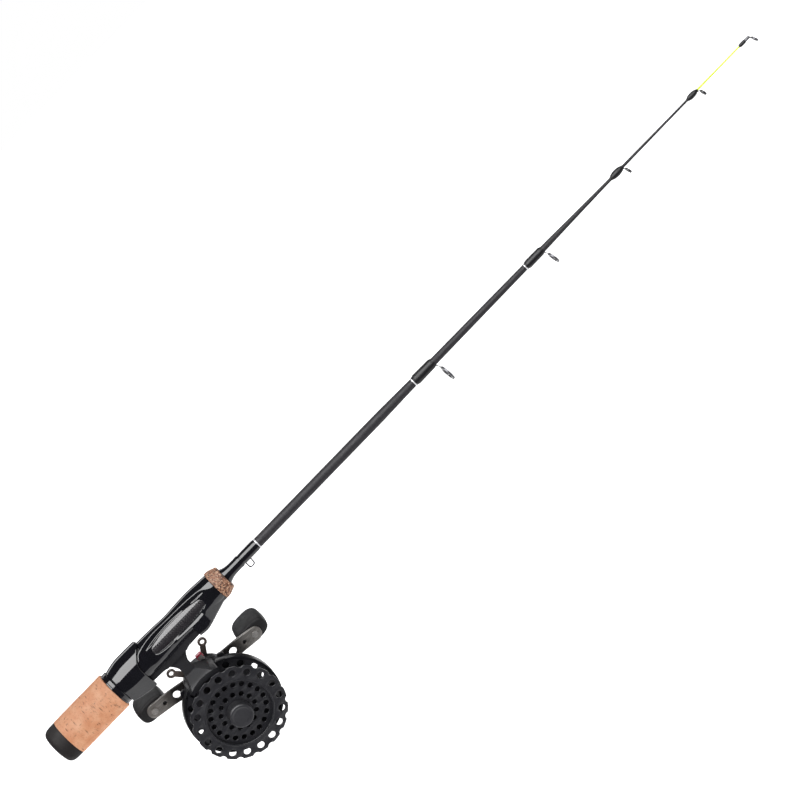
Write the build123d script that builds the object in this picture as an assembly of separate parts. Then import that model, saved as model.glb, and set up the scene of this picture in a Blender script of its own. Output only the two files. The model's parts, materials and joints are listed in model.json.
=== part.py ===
"""Short ice fishing rod with a geared inline reel mounted under its seat.

Row frame, in millimetres: +X runs along the rod towards the tip, +Z is up and the reel hangs towards -Z
with its open spool face towards -Y. The origin is on the rod axis, at the middle of the cork grip.
Stations are distances from the butt end along the rod, and at() turns one into a row x.
"""

from build123d import *
from math import asin, cos, degrees, pi, radians, sin
import os

# --- rod: stations and radii -------------------------------------------------------------------------
GRIP_CENTRE = 30.5
BUTT_CAP_FRONT = 10.4
BUTT_CAP_RADIUS = 12.75
BUTT_FACE_RADIUS = 7.6
BUTT_CORNER = ((1.45, 11.3), (5.2, 12.6))
CORK_FRONT = 50.5
CORK_RADIUS = 12.95
CORK_BORE_RADIUS = 10.4
CORK_CHAMFER = 0.6
PLUG_DEPTH = 2.0
NUT_FRONT = 54.4
NUT_RADIUS = 11.8
NUT_BORE_RADIUS = 9.25
BARREL_REAR = 22.0
BARREL_RADIUS = 9.2
BARREL_BORE_RADIUS = 6.0
BARREL_SPIGOT_FRONT = 70.0

HOOD_REAR_RADIUS = 11.2
HOOD_FRONT_RADIUS = 12.5
HOOD_FRONT_TOP = 81.0
HOOD_FRONT_SIDE = 71.6
HOOD_NECK_FRONT = 64.0
HOOD_NECK_BORE = 9.65
HOOD_BORE = 11.0
HOOD_SWELL = ((62.0, 11.75), (70.0, 12.2))
HOOD_BLOCK_HALF_WIDTH = 8.0
HOOD_BLOCK_UNDERSIDE = ((55.5, -11.4), (60.0, -12.7), (69.6, -14.4), (71.6, -13.4))
POCKET_TOP = -8.0
FOOT_PLAY = 0.15

SEAT_REAR = 60.0
SEAT_SHOULDER = 66.0
SEAT_FRONT = 139.0
SEAT_NECK_RADIUS = 9.6
SEAT_SHOULDER_RADIUS = 10.6
SEAT_PROFILE = ((84.0, 10.6), (92.0, 10.45), (104.0, 9.8), (117.0, 10.3), (123.0, 10.4), (139.0, 9.4))
WINDOW_CENTRE = 105.5
WINDOW_LENGTH = 43.0
WINDOW_WIDTH = 8.6
WINDOW_RISE = 1.4
LIP_UNDERSIDE = ((111.5, -12.9), (117.0, -13.4), (122.0, -12.5), (128.0, -11.2), (136.0, -8.5))
LIP_TOP = -6.0
LIP_HALF_WIDTH = 7.6
TUBE_RADIUS = 8.6
TUBE_BORE = 7.6
ARBOR_STATIONS = ((72.0, 84.0), (122.0, 136.0))

FORE_RING_FRONT = 147.2
FORE_RING_RADII = (10.3, 8.1)
FORE_RING_CHAMFER = 0.5
FORE_RING_BAND = 3.0
HOSEL_FRONT = 161.0
HOSEL_SEAT_DEPTH = 2.2
HOSEL_PROFILE = ((147.2, 5.45), (150.0, 4.5), (152.6, 3.95), (156.0, 3.8), (161.0, 3.75))
KEEPER_LEGS = (161.9, 166.3)
KEEPER_DROP = 8.4
KEEPER_WIRE_RADIUS = 0.32
KEEPER_WRAP_FRONT = 175.2
KEEPER_WRAP_RADIUS = 3.78
TRIM_LENGTH = 0.8
TRIM_THICKNESS = 0.25
TRIM_STATIONS = (175.2, 312.2, 410.2)

BLANK_REAR = 64.0
BLANK_FRONT = 561.5
BLANK_PROFILE = ((64.0, 3.35), (283.0, 3.35), (306.0, 2.9), (335.0, 2.5), (379.0, 2.3), (430.0, 2.0),
                 (452.0, 1.53), (481.0, 1.05), (525.0, 0.8), (561.5, 0.7))
BLANK_BORE = ((64.0, 2.4), (283.0, 2.4), (335.0, 1.6), (430.0, 1.2), (481.0, 0.5), (535.0, 0.4))
TIP_SPIGOT_RADIUS = 0.4
TIP_SPIGOT_REAR = 535.0
TIP_RADII = (0.62, 0.5)
TIP_FRONT = 604.5

# --- line guides: ring station, drop below the axis, outer and inner ring radius, foot and wrap stations
GUIDES = (
    {"x": 331.3, "drop": 12.1, "outer": 5.5, "hole": 3.8, "wrap": (313.0, 330.1), "strap": 2.6, "lean": 0.0},
    {"x": 427.0, "drop": 9.2, "outer": 4.15, "hole": 2.9, "wrap": (411.0, 425.8), "strap": 2.2, "lean": 6.0},
    {"x": 497.0, "drop": 4.4, "outer": 2.3, "hole": 1.5, "wrap": (485.2, 496.0), "strap": 1.4, "lean": 12.0},
    {"x": 563.0, "drop": 4.0, "outer": 2.25, "hole": 1.45, "wrap": (552.0, 561.3), "strap": 1.2, "lean": 10.0},
)
GUIDE_RING_THICKNESS = 1.2
GUIDE_FRAME_WALL = 0.42
GUIDE_STRAP_THICKNESS = 0.5
WRAP_THICKNESS = 0.72
WRAP_END_THICKNESS = 0.12
WRAP_SHOULDER = 1.6
TIP_RING = {"x": 608.4, "drop": 3.8, "outer": 2.35, "hole": 1.55, "lean": 18.0}
TIP_TUBE_REAR = 599.2
TIP_TUBE_FRONT = 607.0
TIP_TUBE_RADIUS = 0.95
TIP_TUBE_CHAMFER = 0.4
TIP_WRAP = (597.9, 603.2)
TIP_STRUT = ((603.4, 606.9), (608.1, 607.2))
TIP_STRUT_HALF_WIDTH = 0.6

# --- reel: both axes lie along Y -----------------------------------------------------------------------
REEL_STATION = 92.0
SPOOL_Z = -67.0
GEAR_MODULE = 0.5
GEAR_TEETH = 54
PINION_TEETH = 15
CRANK_Z = SPOOL_Z + GEAR_MODULE * (GEAR_TEETH + PINION_TEETH) / 2

FOOT_REAR = 64.5
FOOT_FRONT = 124.5
FOOT_HALF_WIDTH = 6.0
FOOT_TOP = -6.0
FOOT_BOTTOM = -12.2
FOOT_TIP_LIFT = 0.6
STEM_HALF_THICKNESS = 3.75
STEM_FRONT = ((102.5, -12.3), (96.9, -15.4), (94.3, -20.4), (93.8, -27.5))
STEM_REAR = ((86.3, -26.0), (86.6, -19.4), (84.4, -14.9), (79.0, -12.2))
STEM_END = -33.5
FLARE_Z = (-26.5, -34.2)
FLARE_LENGTHS = (7.5, 18.5)
FLARE_STATIONS = (90.05, 91.5)

FLANGE_RADIUS = 31.0
SCALLOP_COUNT = 18
SCALLOP_DEPTH = 1.3
FLANGE_Y = (-10.0, -8.6)
STEP_RADIUS = 21.2
STEP_WALL = 1.2
DISC_Y = (-7.0, -5.5)
BIG_HOLES = {"count": 18, "radius": 2.35, "pitch": 26.8, "start": 16.8}
MIDDLE_HOLES = {"count": 20, "radius": 1.75, "pitch": 18.0, "start": 4.0}
INNER_HOLES = {"count": 13, "radius": 1.7, "pitch": 11.4, "start": 10.0}
CAP_RADIUS = 8.0
CAP_Y = (-16.0, -7.0)
DRUM_Y = (-5.5, 5.0)
DRUM_HUB_RADIUS = 5.0
DRUM_DISC_THICKNESS = 1.4
BACK_FLANGE_Y = (5.0, 6.4)
BACK_FLANGE_RADIUS = 30.0
CLICK_WHEEL_Y = (6.4, 7.6)
CLICK_WHEEL_RADII = (8.0, 9.6)
CLICK_TEETH = 20
CLICK_TOOTH_HALF_DEG = (5.0, 2.4)

PLATE_Y = (8.5, 10.5)
RIM_RADIUS = 31.7
RIM_INNER = 30.4
RIM_FRONT_Y = 3.5
BRIDGE_RADII = (31.5, 34.4)
BRIDGE_HALF_ANGLE = 20.0
BRIDGE_FRONT_Y = -9.4
WINDOW_PITCH = 25.3
WINDOW_BAND = 5.6
PLATE_WINDOW_ANGLES = (2.0, -44.0, -90.0, -136.0, -182.0)
PLATE_WINDOW_SPAN = 32.0
BEARING_RADII = (5.0, 2.5)
BEARING_Y = ((8.7, 11.2), (17.4, 19.9))
SPOOL_SHAFT_RADIUS = 2.45
SPOOL_SHAFT_Y = (-14.5, 19.9)

COVER_Y = (10.5, 21.5)
COVER_WALL = 1.4
COVER_RADII = {"crank": 16.2, "spool": 10.4}
EAR_RADIUS = 2.7
EAR_Y_FAR = 13.0
COVER_EARS = (("crank", 18.2, 28.0), ("crank", 18.2, 152.0), ("spool", 12.4, 222.0), ("spool", 12.4, 318.0))
SCREW_RADIUS = 1.0
SCREW_HEAD_RADIUS = 1.9

MAIN_SHAFT_RADIUS = 3.0
MAIN_FLANGE_RADIUS = 5.0
PLATE_BUSH_RADIUS = 4.5
COVER_BUSH_RADIUS = 5.5
RUNNING_CLEARANCE = 0.05
SHAFT_FLANGE_Y = (11.0, 11.8)
FRICTION_WASHER_RADIUS = 8.0
FRICTION_WASHER_Y = ((11.8, 12.3), (15.7, 16.2))
GEAR_Y = (12.3, 15.7)
PINION_Y = (11.6, 16.6)
PRESSURE_PLATE_RADIUS = 7.6
PRESSURE_PLATE_Y = (16.2, 17.0)
SLEEVE_RADII = (4.2, 3.05)
SLEEVE_Y = (17.0, 22.0)
SPRING_WASHER_RADII = (4.6, 4.0)
SPRING_WASHER_Y = 22.0
SPRING_WASHER_THICKNESS = 0.4
STAR_Y = (23.2, 25.0)
STAR_HUB_Y = (22.8, 26.4)
STAR_HUB_RADIUS = 6.2
STAR_TIP_RADIUS = 23.5
STAR_ARM_REACHES = (4.0, 12.0, 21.5)
STAR_ARM_HALF_WIDTHS = (2.6, 1.8, 1.7)
STAR_ARMS = 5
STAR_EYE_RADII = (2.8, 1.55)
STAR_FIRST_ANGLE = 54.0

CRANK_HUB_Y = 26.6
CRANK_THICKNESS = 2.0
CRANK_STEP = (9.0, 27.0)
CRANK_END_Y = 29.8
CRANK_PIN_RADIUS = 39.3
CRANK_END_RADIUS = 4.7
CRANK_WAIST_RADIUS = 5.2
CRANK_HUB_RADIUS = 6.4
CRANK_BIG_HOLE = {"at": 22.0, "radius": 2.65}
CRANK_SMALL_HOLE = {"at": 31.2, "radius": 1.4}
CRANK_REST_ANGLE = -9.1
CRANK_NUT_RADIUS = 4.6
CRANK_NUT_FAR = 32.2
MAIN_SHAFT_Y = (7.8, 31.4)
SPINDLE_RADIUS = 1.5
SPINDLE_HEAD_RADIUS = 2.1
SPINDLE_LENGTH = 20.0
KNOB_SIZE = (18.0, 23.0, 11.0)
KNOB_GAP = 0.8
KNOB_CORNER = 4.4
KNOB_END_ROUND = 2.6

SLIDER_Y = (10.7, 11.5)
SLIDER_X = (5.6, 9.0)
SLIDER_TOP = 37.0
SLIDER_FOOT = (9.5, 11.7)
SLIDER_TRAVEL = 1.6
SLIDER_FOOT_HALF_WIDTH = 1.1
PAWL_HALF_WIDTHS = (0.9, 0.28)
PAWL_RISES = (1.1, 0.45)
TAB_Z = (34.6, 38.1)
TAB_FAR = 13.6
TAB_CORNER = 0.9

REEL_X = REEL_STATION - GRIP_CENTRE

# reach of a cutter that passes right through
FAR = 60.0


def at(station):
    """Row x of a station along the rod."""
    return station - GRIP_CENTRE


def turned(points):
    """Solid turned about the rod axis from (station, radius) corners."""
    corners = [(at(station), radius) for station, radius in points]
    return revolve(make_face(Polyline(*corners, close=True)), Axis.X)


def rod_bore(radius):
    """Cutter along the rod axis, through the hood and the seat."""
    return Pos(at(SEAT_REAR), 0, 0) * Rot(Y=90) * Cylinder(radius, 4 * FAR)


def disc(radius, y_near, y_far, x=REEL_X, z=SPOOL_Z):
    """Cylinder along Y."""
    return Pos(x, (y_near + y_far) / 2, z) * Rot(X=90) * Cylinder(radius, y_far - y_near)


def collar(outer, inner, y_near, y_far, x=REEL_X, z=SPOOL_Z):
    """Ring along Y."""
    return disc(outer, y_near, y_far, x, z) - disc(inner, y_near - 1, y_far + 1, x, z)


def plate(sketch, y_near, y_far):
    """A sketch drawn in X and Z, made solid between two y values."""
    return Pos(0, y_far, 0) * extrude(Plane.XZ * sketch, y_far - y_near)


def block(x_range, y_range, z_range):
    """Box between pairs of coordinates."""
    sizes = [high - low for low, high in (x_range, y_range, z_range)]
    middle = [(high + low) / 2 for low, high in (x_range, y_range, z_range)]
    return Pos(*middle) * Box(*sizes)


def on_circle(radius, angle_deg, x=REEL_X, z=SPOOL_Z):
    """Point in X and Z on a circle about a reel axis."""
    return x + radius * cos(radians(angle_deg)), z + radius * sin(radians(angle_deg))


def blank_radius(station):
    """Outside radius of the blank at a station."""
    for (low, r_low), (high, r_high) in zip(BLANK_PROFILE, BLANK_PROFILE[1:]):
        if low <= station <= high:
            return r_low + (r_high - r_low) * (station - low) / (high - low)
    return TIP_RADII[0]


# --- handle ---------------------------------------------------------------------------------------------
def butt_cap():
    """Rounded rubber end cap with a plug that sits in the cork's bore."""
    front = at(BUTT_CAP_FRONT)
    plug_front = front + PLUG_DEPTH
    rim = (at(0), BUTT_FACE_RADIUS)
    middle, shoulder = ((at(station), radius) for station, radius in BUTT_CORNER)
    outline = Line((at(0), 0), rim) + ThreePointArc(rim, middle, shoulder)
    outline += Polyline(shoulder, (front, BUTT_CAP_RADIUS), (front, CORK_BORE_RADIUS),
                        (plug_front, CORK_BORE_RADIUS), (plug_front, 0), (at(0), 0))
    return revolve(make_face(outline), Axis.X)


def rear_grip():
    """Cork sleeve, glued on the lock nut's sleeve and gripped by the hand."""
    return turned((
        (BUTT_CAP_FRONT, CORK_BORE_RADIUS),
        (BUTT_CAP_FRONT, CORK_RADIUS - CORK_CHAMFER / 2),
        (BUTT_CAP_FRONT + CORK_CHAMFER, CORK_RADIUS),
        (CORK_FRONT - CORK_CHAMFER, CORK_RADIUS),
        (CORK_FRONT, CORK_RADIUS - CORK_CHAMFER / 2),
        (CORK_FRONT, CORK_BORE_RADIUS),
    ))


def lock_nut():
    """Flanged nut: a ring in front of the cork and a sleeve inside it."""
    sleeve_rear = BUTT_CAP_FRONT + PLUG_DEPTH
    return turned((
        (sleeve_rear, NUT_BORE_RADIUS),
        (sleeve_rear, CORK_BORE_RADIUS),
        (CORK_FRONT, CORK_BORE_RADIUS),
        (CORK_FRONT, NUT_RADIUS - 0.3),
        (CORK_FRONT + 0.5, NUT_RADIUS),
        (NUT_FRONT - 0.8, NUT_RADIUS),
        (NUT_FRONT, NUT_RADIUS - 0.5),
        (NUT_FRONT, NUT_BORE_RADIUS),
    ))


def threaded_barrel():
    """Barrel that carries the nut's thread, with a spigot glued into the seat tube."""
    return turned((
        (BARREL_REAR, BARREL_BORE_RADIUS),
        (BARREL_REAR, BARREL_RADIUS - 0.6),
        (BARREL_REAR + 0.6, BARREL_RADIUS),
        (SEAT_REAR, BARREL_RADIUS),
        (SEAT_REAR, TUBE_BORE),
        (BARREL_SPIGOT_FRONT, TUBE_BORE),
        (BARREL_SPIGOT_FRONT, BARREL_BORE_RADIUS),
    ))


def hood_front_cutter():
    """Everything in front of the hood's curved front edge, which runs further forward on top."""
    top, side, reach = at(HOOD_FRONT_TOP), at(HOOD_FRONT_SIDE), 30.0
    edge = Spline((top, 14.0), (top - 6.2, 8.0), (side, 0.0), tangents=((-0.4, -1), (0, -1)))
    rest = Polyline((side, 0.0), (side, -reach), (top + reach, -reach), (top + reach, 14.0), (top, 14.0))
    return plate(make_face(edge + rest), -reach, reach)


def sliding_hood():
    """Hood that slides on the seat's neck, with a pocket over the rear end of the reel foot."""
    shell = turned((
        (NUT_FRONT, HOOD_NECK_BORE),
        (NUT_FRONT, HOOD_REAR_RADIUS),
        *HOOD_SWELL,
        (HOOD_FRONT_TOP + 2, HOOD_FRONT_RADIUS),
        (HOOD_FRONT_TOP + 2, HOOD_BORE),
        (HOOD_NECK_FRONT, HOOD_BORE),
        (HOOD_NECK_FRONT, HOOD_NECK_BORE),
    ))
    underside = [(at(station), z) for station, z in HOOD_BLOCK_UNDERSIDE]
    side = Polyline((underside[0][0], POCKET_TOP), *underside, (underside[-1][0], POCKET_TOP), close=True)
    pocket_block = plate(make_face(side), -HOOD_BLOCK_HALF_WIDTH, HOOD_BLOCK_HALF_WIDTH)
    long_edges = pocket_block.edges().filter_by(Axis.X, tolerance=20).group_by(Axis.Z)[0]
    pocket_block = fillet(long_edges, 2.0)
    pocket_block -= rod_bore(HOOD_BORE)
    whole = shell + pocket_block
    half_width = FOOT_HALF_WIDTH + FOOT_PLAY
    foot_room = block((at(FOOT_REAR - 0.8), at(HOOD_FRONT_TOP)), (-half_width, half_width),
                      (FOOT_BOTTOM - FOOT_PLAY, FOOT_TOP))
    return whole - foot_room - hood_front_cutter()


def seat_outside():
    """Outer body of revolution of the seat, without its bore or windows."""
    crest = [(at(station), radius) for station, radius in SEAT_PROFILE]
    outside = Polyline((at(SEAT_REAR), 0), (at(SEAT_REAR), SEAT_NECK_RADIUS),
                       (at(SEAT_SHOULDER), SEAT_NECK_RADIUS), (at(SEAT_SHOULDER), SEAT_SHOULDER_RADIUS),
                       crest[0])
    outside += Spline(*crest, tangents=((1, 0), (1, -0.08)))
    outside += Polyline(crest[-1], (at(SEAT_FRONT), 0), (at(SEAT_REAR), 0))
    return revolve(make_face(outside), Axis.X)


def seat_body():
    """Gloss shell with an oval window on each side and a fixed pocket for the front of the foot."""
    underside = [(at(station), z) for station, z in LIP_UNDERSIDE]
    rear, front = underside[0][0], underside[-1][0]
    side = Polyline((rear, LIP_TOP), *underside, (front, LIP_TOP), close=True)
    lip = plate(make_face(side), -LIP_HALF_WIDTH, LIP_HALF_WIDTH)
    low_edges = lip.edges().filter_by(GeomType.LINE).group_by(Axis.Z)[0]
    lip = fillet(low_edges, 0.6)
    half_width = FOOT_HALF_WIDTH + RUNNING_CLEARANCE
    room = block((rear - 1, at(FOOT_FRONT + 0.2)), (-half_width, half_width),
                 (FOOT_BOTTOM - RUNNING_CLEARANCE, 0.0))
    whole = (lip - room) + seat_outside()
    whole -= rod_bore(TUBE_RADIUS)
    window = Pos(at(WINDOW_CENTRE), WINDOW_RISE) * SlotOverall(WINDOW_LENGTH, WINDOW_WIDTH)
    return whole - plate(window, -FAR, FAR)


def seat_tube():
    """Woven carbon tube that runs through the seat and shows in its windows."""
    return turned(((SEAT_REAR, TUBE_BORE), (SEAT_REAR, TUBE_RADIUS),
                   (SEAT_FRONT, TUBE_RADIUS), (SEAT_FRONT, TUBE_BORE)))


def seat_arbors():
    """Two rings that centre the blank inside the seat tube."""
    blank_outside = BLANK_PROFILE[0][1]
    return [turned(((rear, blank_outside), (rear, TUBE_BORE), (front, TUBE_BORE), (front, blank_outside)))
            for rear, front in ARBOR_STATIONS]


def fore_ring():
    """Granulated cork ring at the front of the seat, recessed for the hosel."""
    rear_radius, front_radius = FORE_RING_RADII
    recess = FORE_RING_FRONT - HOSEL_SEAT_DEPTH
    bore = BLANK_PROFILE[0][1]
    hosel_radius = HOSEL_PROFILE[0][1]
    cut = FORE_RING_CHAMFER
    return turned(((SEAT_FRONT, bore), (SEAT_FRONT, rear_radius - cut), (SEAT_FRONT + cut, rear_radius),
                   (SEAT_FRONT + FORE_RING_BAND, rear_radius - 0.1),
                   (FORE_RING_FRONT - cut, front_radius + 0.3), (FORE_RING_FRONT, front_radius - 0.3),
                   (FORE_RING_FRONT, hosel_radius),
                   (recess, hosel_radius), (recess, bore)))


def hook_keeper():
    """Wire loop for parking the hook, standing on the underside of the blank."""
    rear, front = (at(station) for station in KEEPER_LEGS)
    root = -BLANK_PROFILE[0][1] - 0.02
    path = FilletPolyline((rear, 0, root), (rear - 0.1, 0, -KEEPER_DROP + 0.2), (front - 0.5, 0, -KEEPER_DROP),
                          (front, 0, root), radius=1.3)
    return sweep(Plane(origin=(rear, 0, root), z_dir=path % 0) * Circle(KEEPER_WIRE_RADIUS), path=path)


def hosel(keeper):
    """Tapered winding check between the fore ring and the keeper wrap."""
    rear = FORE_RING_FRONT - HOSEL_SEAT_DEPTH
    bore = BLANK_PROFILE[0][1]
    points = [(rear, bore), (rear, HOSEL_PROFILE[0][1]), *HOSEL_PROFILE, (HOSEL_FRONT, bore)]
    return turned(points) - keeper


def thread_wrap(rear, front, cutters, thickness=WRAP_THICKNESS, full_radius=None):
    """Varnished thread winding on the blank, with tapered ends, cut round what it binds down."""
    shoulder = min(WRAP_SHOULDER, (front - rear) / 5)
    stations = (rear, rear + shoulder, front - shoulder, front)
    lifts = (WRAP_END_THICKNESS, thickness, thickness, WRAP_END_THICKNESS)
    top = []
    for station, lift in zip(stations, lifts):
        radius = full_radius if full_radius and lift == thickness else blank_radius(station) + lift
        top.append((station, radius))
    inner = sorted({station for station, _ in BLANK_PROFILE if rear < station < front} | {rear, front})
    bore = [(station, blank_radius(station)) for station in reversed(inner)]
    wrap = turned(top + bore)
    for cutter in cutters:
        wrap -= cutter
    return wrap


def trim_rings():
    """Bright bands at the ends of three windings."""
    bands = []
    for rear in TRIM_STATIONS:
        front = rear + TRIM_LENGTH
        bands.append(turned(((rear, blank_radius(rear)), (rear, blank_radius(rear) + TRIM_THICKNESS),
                             (front, blank_radius(front) + TRIM_THICKNESS), (front, blank_radius(front)))))
    return bands


# --- blank and guides -----------------------------------------------------------------------------------
def blank():
    """Tapered hollow carbon tube, with a socket for the solid tip."""
    bore = list(reversed(BLANK_BORE))
    return turned([*BLANK_PROFILE, (BLANK_FRONT, TIP_SPIGOT_RADIUS), *bore])


def tip_section():
    """Solid fluorescent tip with a spigot glued into the blank."""
    rear_radius, front_radius = TIP_RADII
    return turned(((TIP_SPIGOT_REAR, 0), (TIP_SPIGOT_REAR, TIP_SPIGOT_RADIUS), (BLANK_FRONT, TIP_SPIGOT_RADIUS),
                   (BLANK_FRONT, rear_radius), (TIP_FRONT, front_radius), (TIP_FRONT, 0)))


def leaned(part, x, drop, lean):
    """Leans a part about the ring's centre, its lower side towards the tip."""
    return Pos(at(x), 0, -drop) * Rot(Y=-lean) * part


def guide_ring(guide):
    """Ceramic ring insert of a guide."""
    seat = guide["outer"] - GUIDE_FRAME_WALL
    body = Rot(Y=90) * (Cylinder(seat, GUIDE_RING_THICKNESS) - Cylinder(guide["hole"], 4))
    return leaned(body, guide["x"], guide["drop"], guide["lean"])


def guide_frame(guide, blank_solid):
    """Hoop that holds the ring, with one strap that runs back under the winding."""
    outer = guide["outer"]
    hoop = Rot(Y=90) * (Cylinder(outer, GUIDE_RING_THICKNESS) - Cylinder(outer - GUIDE_FRAME_WALL, 4))
    hoop = leaned(hoop, guide["x"], guide["drop"], guide["lean"])
    rear, front = guide["wrap"]
    t = GUIDE_STRAP_THICKNESS
    foot_rear = rear + (front - rear) * 0.35
    low_rear, low_front = -blank_radius(foot_rear), -blank_radius(front)
    lean_shift = outer * sin(radians(guide["lean"]))
    top_x, top_z = at(guide["x"]) - lean_shift, -guide["drop"] + (outer - GUIDE_FRAME_WALL * 0.6)
    bend = at(front) - 0.2
    side = Polyline((at(foot_rear), low_rear + 0.3), (at(foot_rear), low_rear - t * 0.5),
                    (bend - 1.0, low_front - t), (top_x - 0.45, top_z), (top_x + 0.35, top_z),
                    (bend + 0.5, low_front - t * 0.3), (bend + 0.2, low_front + 0.3), close=True)
    strap = plate(make_face(side), -guide["strap"] / 2, guide["strap"] / 2)
    bore = leaned(Rot(Y=90) * Cylinder(outer - GUIDE_FRAME_WALL, 6), guide["x"], guide["drop"], guide["lean"])
    return strap - bore + hoop - blank_solid


def tip_top_ring():
    """Ceramic ring of the tip top."""
    seat = TIP_RING["outer"] - GUIDE_FRAME_WALL
    body = Rot(Y=90) * (Cylinder(seat, GUIDE_RING_THICKNESS) - Cylinder(TIP_RING["hole"], 4))
    return leaned(body, TIP_RING["x"], TIP_RING["drop"], TIP_RING["lean"])


def tip_top_frame():
    """Tube that caps the tip, with a hoop below its front end."""
    outer = TIP_RING["outer"]
    hoop = Rot(Y=90) * (Cylinder(outer, GUIDE_RING_THICKNESS) - Cylinder(outer - GUIDE_FRAME_WALL, 4))
    hoop = leaned(hoop, TIP_RING["x"], TIP_RING["drop"], TIP_RING["lean"])
    radius, cut = TIP_TUBE_RADIUS, TIP_TUBE_CHAMFER
    tube = turned(((TIP_TUBE_REAR, 0), (TIP_TUBE_REAR, radius), (TIP_TUBE_FRONT - cut, radius),
                   (TIP_TUBE_FRONT, radius - cut), (TIP_TUBE_FRONT, 0)))
    top_z = -TIP_RING["drop"] + outer - 0.3
    (root_rear, root_front), (ring_front, ring_rear) = TIP_STRUT
    root_z = -TIP_TUBE_RADIUS / 2
    side = Polyline((at(root_rear), root_z), (at(root_front), root_z), (at(ring_front), top_z),
                    (at(ring_rear), top_z), close=True)
    strut = plate(make_face(side), -TIP_STRUT_HALF_WIDTH, TIP_STRUT_HALF_WIDTH)
    bore = Rot(Y=90) * Cylinder(outer - GUIDE_FRAME_WALL, 6)
    bore = leaned(bore, TIP_RING["x"], TIP_RING["drop"], TIP_RING["lean"])
    return tube + (strut - bore) + hoop - tip_section()


def tip_top_wrap(frame):
    """Short varnished winding over the rear of the tip top's tube."""
    rear, front = TIP_WRAP
    radius = TIP_TUBE_RADIUS + 0.28
    wrap = turned(((rear, 0.3), (rear, TIP_RADII[1] + 0.2), (rear + 1.4, radius), (front - 0.8, radius),
                   (front, TIP_TUBE_RADIUS + 0.05), (front, 0.3)))
    return wrap - frame - tip_section()


# --- reel: frame and cover ------------------------------------------------------------------------------
def stem_outline():
    """Side view of the foot and the stem: the foot's two tapered ends curve into a narrow stem."""
    front = [(at(station), z) for station, z in STEM_FRONT]
    rear = [(at(station), z) for station, z in STEM_REAR]
    tip_low = FOOT_BOTTOM + FOOT_TIP_LIFT
    outline = Polyline(rear[-1], (at(FOOT_REAR), tip_low), (at(FOOT_REAR), FOOT_TOP),
                       (at(FOOT_FRONT), FOOT_TOP), (at(FOOT_FRONT), tip_low), front[0])
    outline += Spline(*front, tangents=((-1, -0.1), (0, -1)))
    outline += Polyline(front[-1], (front[-1][0], STEM_END), (rear[0][0], STEM_END), rear[0])
    outline += Spline(*rear, tangents=((0, 1), (-1, 0.1)))
    return make_face(outline)


def stem_flare():
    """Loft from the narrow stem to the bridge over the spool."""
    upper_z, lower_z = FLARE_Z
    upper_length, lower_length = FLARE_LENGTHS
    upper_x, lower_x = (at(station) for station in FLARE_STATIONS)
    middle_y = (BRIDGE_FRONT_Y + PLATE_Y[1]) / 2
    upper = Pos(upper_x, 0, upper_z) * Rectangle(upper_length, 2 * STEM_HALF_THICKNESS)
    lower = Pos(lower_x, middle_y, lower_z) * Rectangle(lower_length, PLATE_Y[1] - BRIDGE_FRONT_Y)
    return loft([upper, lower])


def sector(inner, outer, middle_deg, half_deg):
    """Sketch of a ring segment about the spool axis."""
    steps = [middle_deg - half_deg, middle_deg, middle_deg + half_deg]
    out = [on_circle(outer, angle) for angle in steps]
    back = [on_circle(inner, angle) for angle in reversed(steps)]
    edge = ThreePointArc(*out) + Line(out[-1], back[0]) + ThreePointArc(*back) + Line(back[-1], out[0])
    return make_face(edge)


def reel_frame(seat_solid):
    """One casting: foot, stem, bridge over the spool rim and the rimmed back plate."""
    outline = stem_outline()
    foot = plate(outline, -FOOT_HALF_WIDTH, FOOT_HALF_WIDTH)
    foot &= block((at(FOOT_REAR), at(FOOT_FRONT)), (-FAR, FAR), (FOOT_BOTTOM - 1.0, 0))
    stem = plate(outline, -STEM_HALF_THICKNESS, STEM_HALF_THICKNESS)
    body = foot + stem + stem_flare()
    body -= disc(BRIDGE_RADII[0], BRIDGE_FRONT_Y - 1, PLATE_Y[1] + 1)
    body += plate(sector(*BRIDGE_RADII, 90.0, BRIDGE_HALF_ANGLE), BRIDGE_FRONT_Y, PLATE_Y[1])
    body += disc(RIM_RADIUS, *PLATE_Y)
    body += collar(RIM_RADIUS, RIM_INNER, RIM_FRONT_Y, PLATE_Y[1])
    body += disc(BEARING_RADII[0] + 2.2, PLATE_Y[0], BEARING_Y[0][1] + 0.2)
    body -= disc(BEARING_RADII[0], BEARING_Y[0][0], FAR)
    body -= disc(SPOOL_SHAFT_RADIUS + 1.0, 0, FAR)
    body -= disc(PLATE_BUSH_RADIUS, 0, FAR, z=CRANK_Z)
    inner, outer = WINDOW_PITCH - WINDOW_BAND / 2, WINDOW_PITCH + WINDOW_BAND / 2
    for angle in PLATE_WINDOW_ANGLES:
        body -= plate(sector(inner, outer, angle, PLATE_WINDOW_SPAN / 2), PLATE_Y[0] - 1, PLATE_Y[1] + 1)
    for x, z in ear_places():
        body -= disc(SCREW_RADIUS, 0, FAR, x, z)
    low, high = SLIDER_FOOT
    half_width = SLIDER_FOOT_HALF_WIDTH + 0.2
    body -= block((REEL_X - half_width, REEL_X + half_width), (PLATE_Y[0] - 1, PLATE_Y[1] + 1),
                  (SPOOL_Z + low - SLIDER_TRAVEL - 0.9, SPOOL_Z + high + 0.4))
    return body - seat_solid


def ear_places():
    """Centres of the cover's four screw ears."""
    centres = {"crank": CRANK_Z, "spool": SPOOL_Z}
    return [on_circle(radius, angle, z=centres[axis]) for axis, radius, angle in COVER_EARS]


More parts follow.
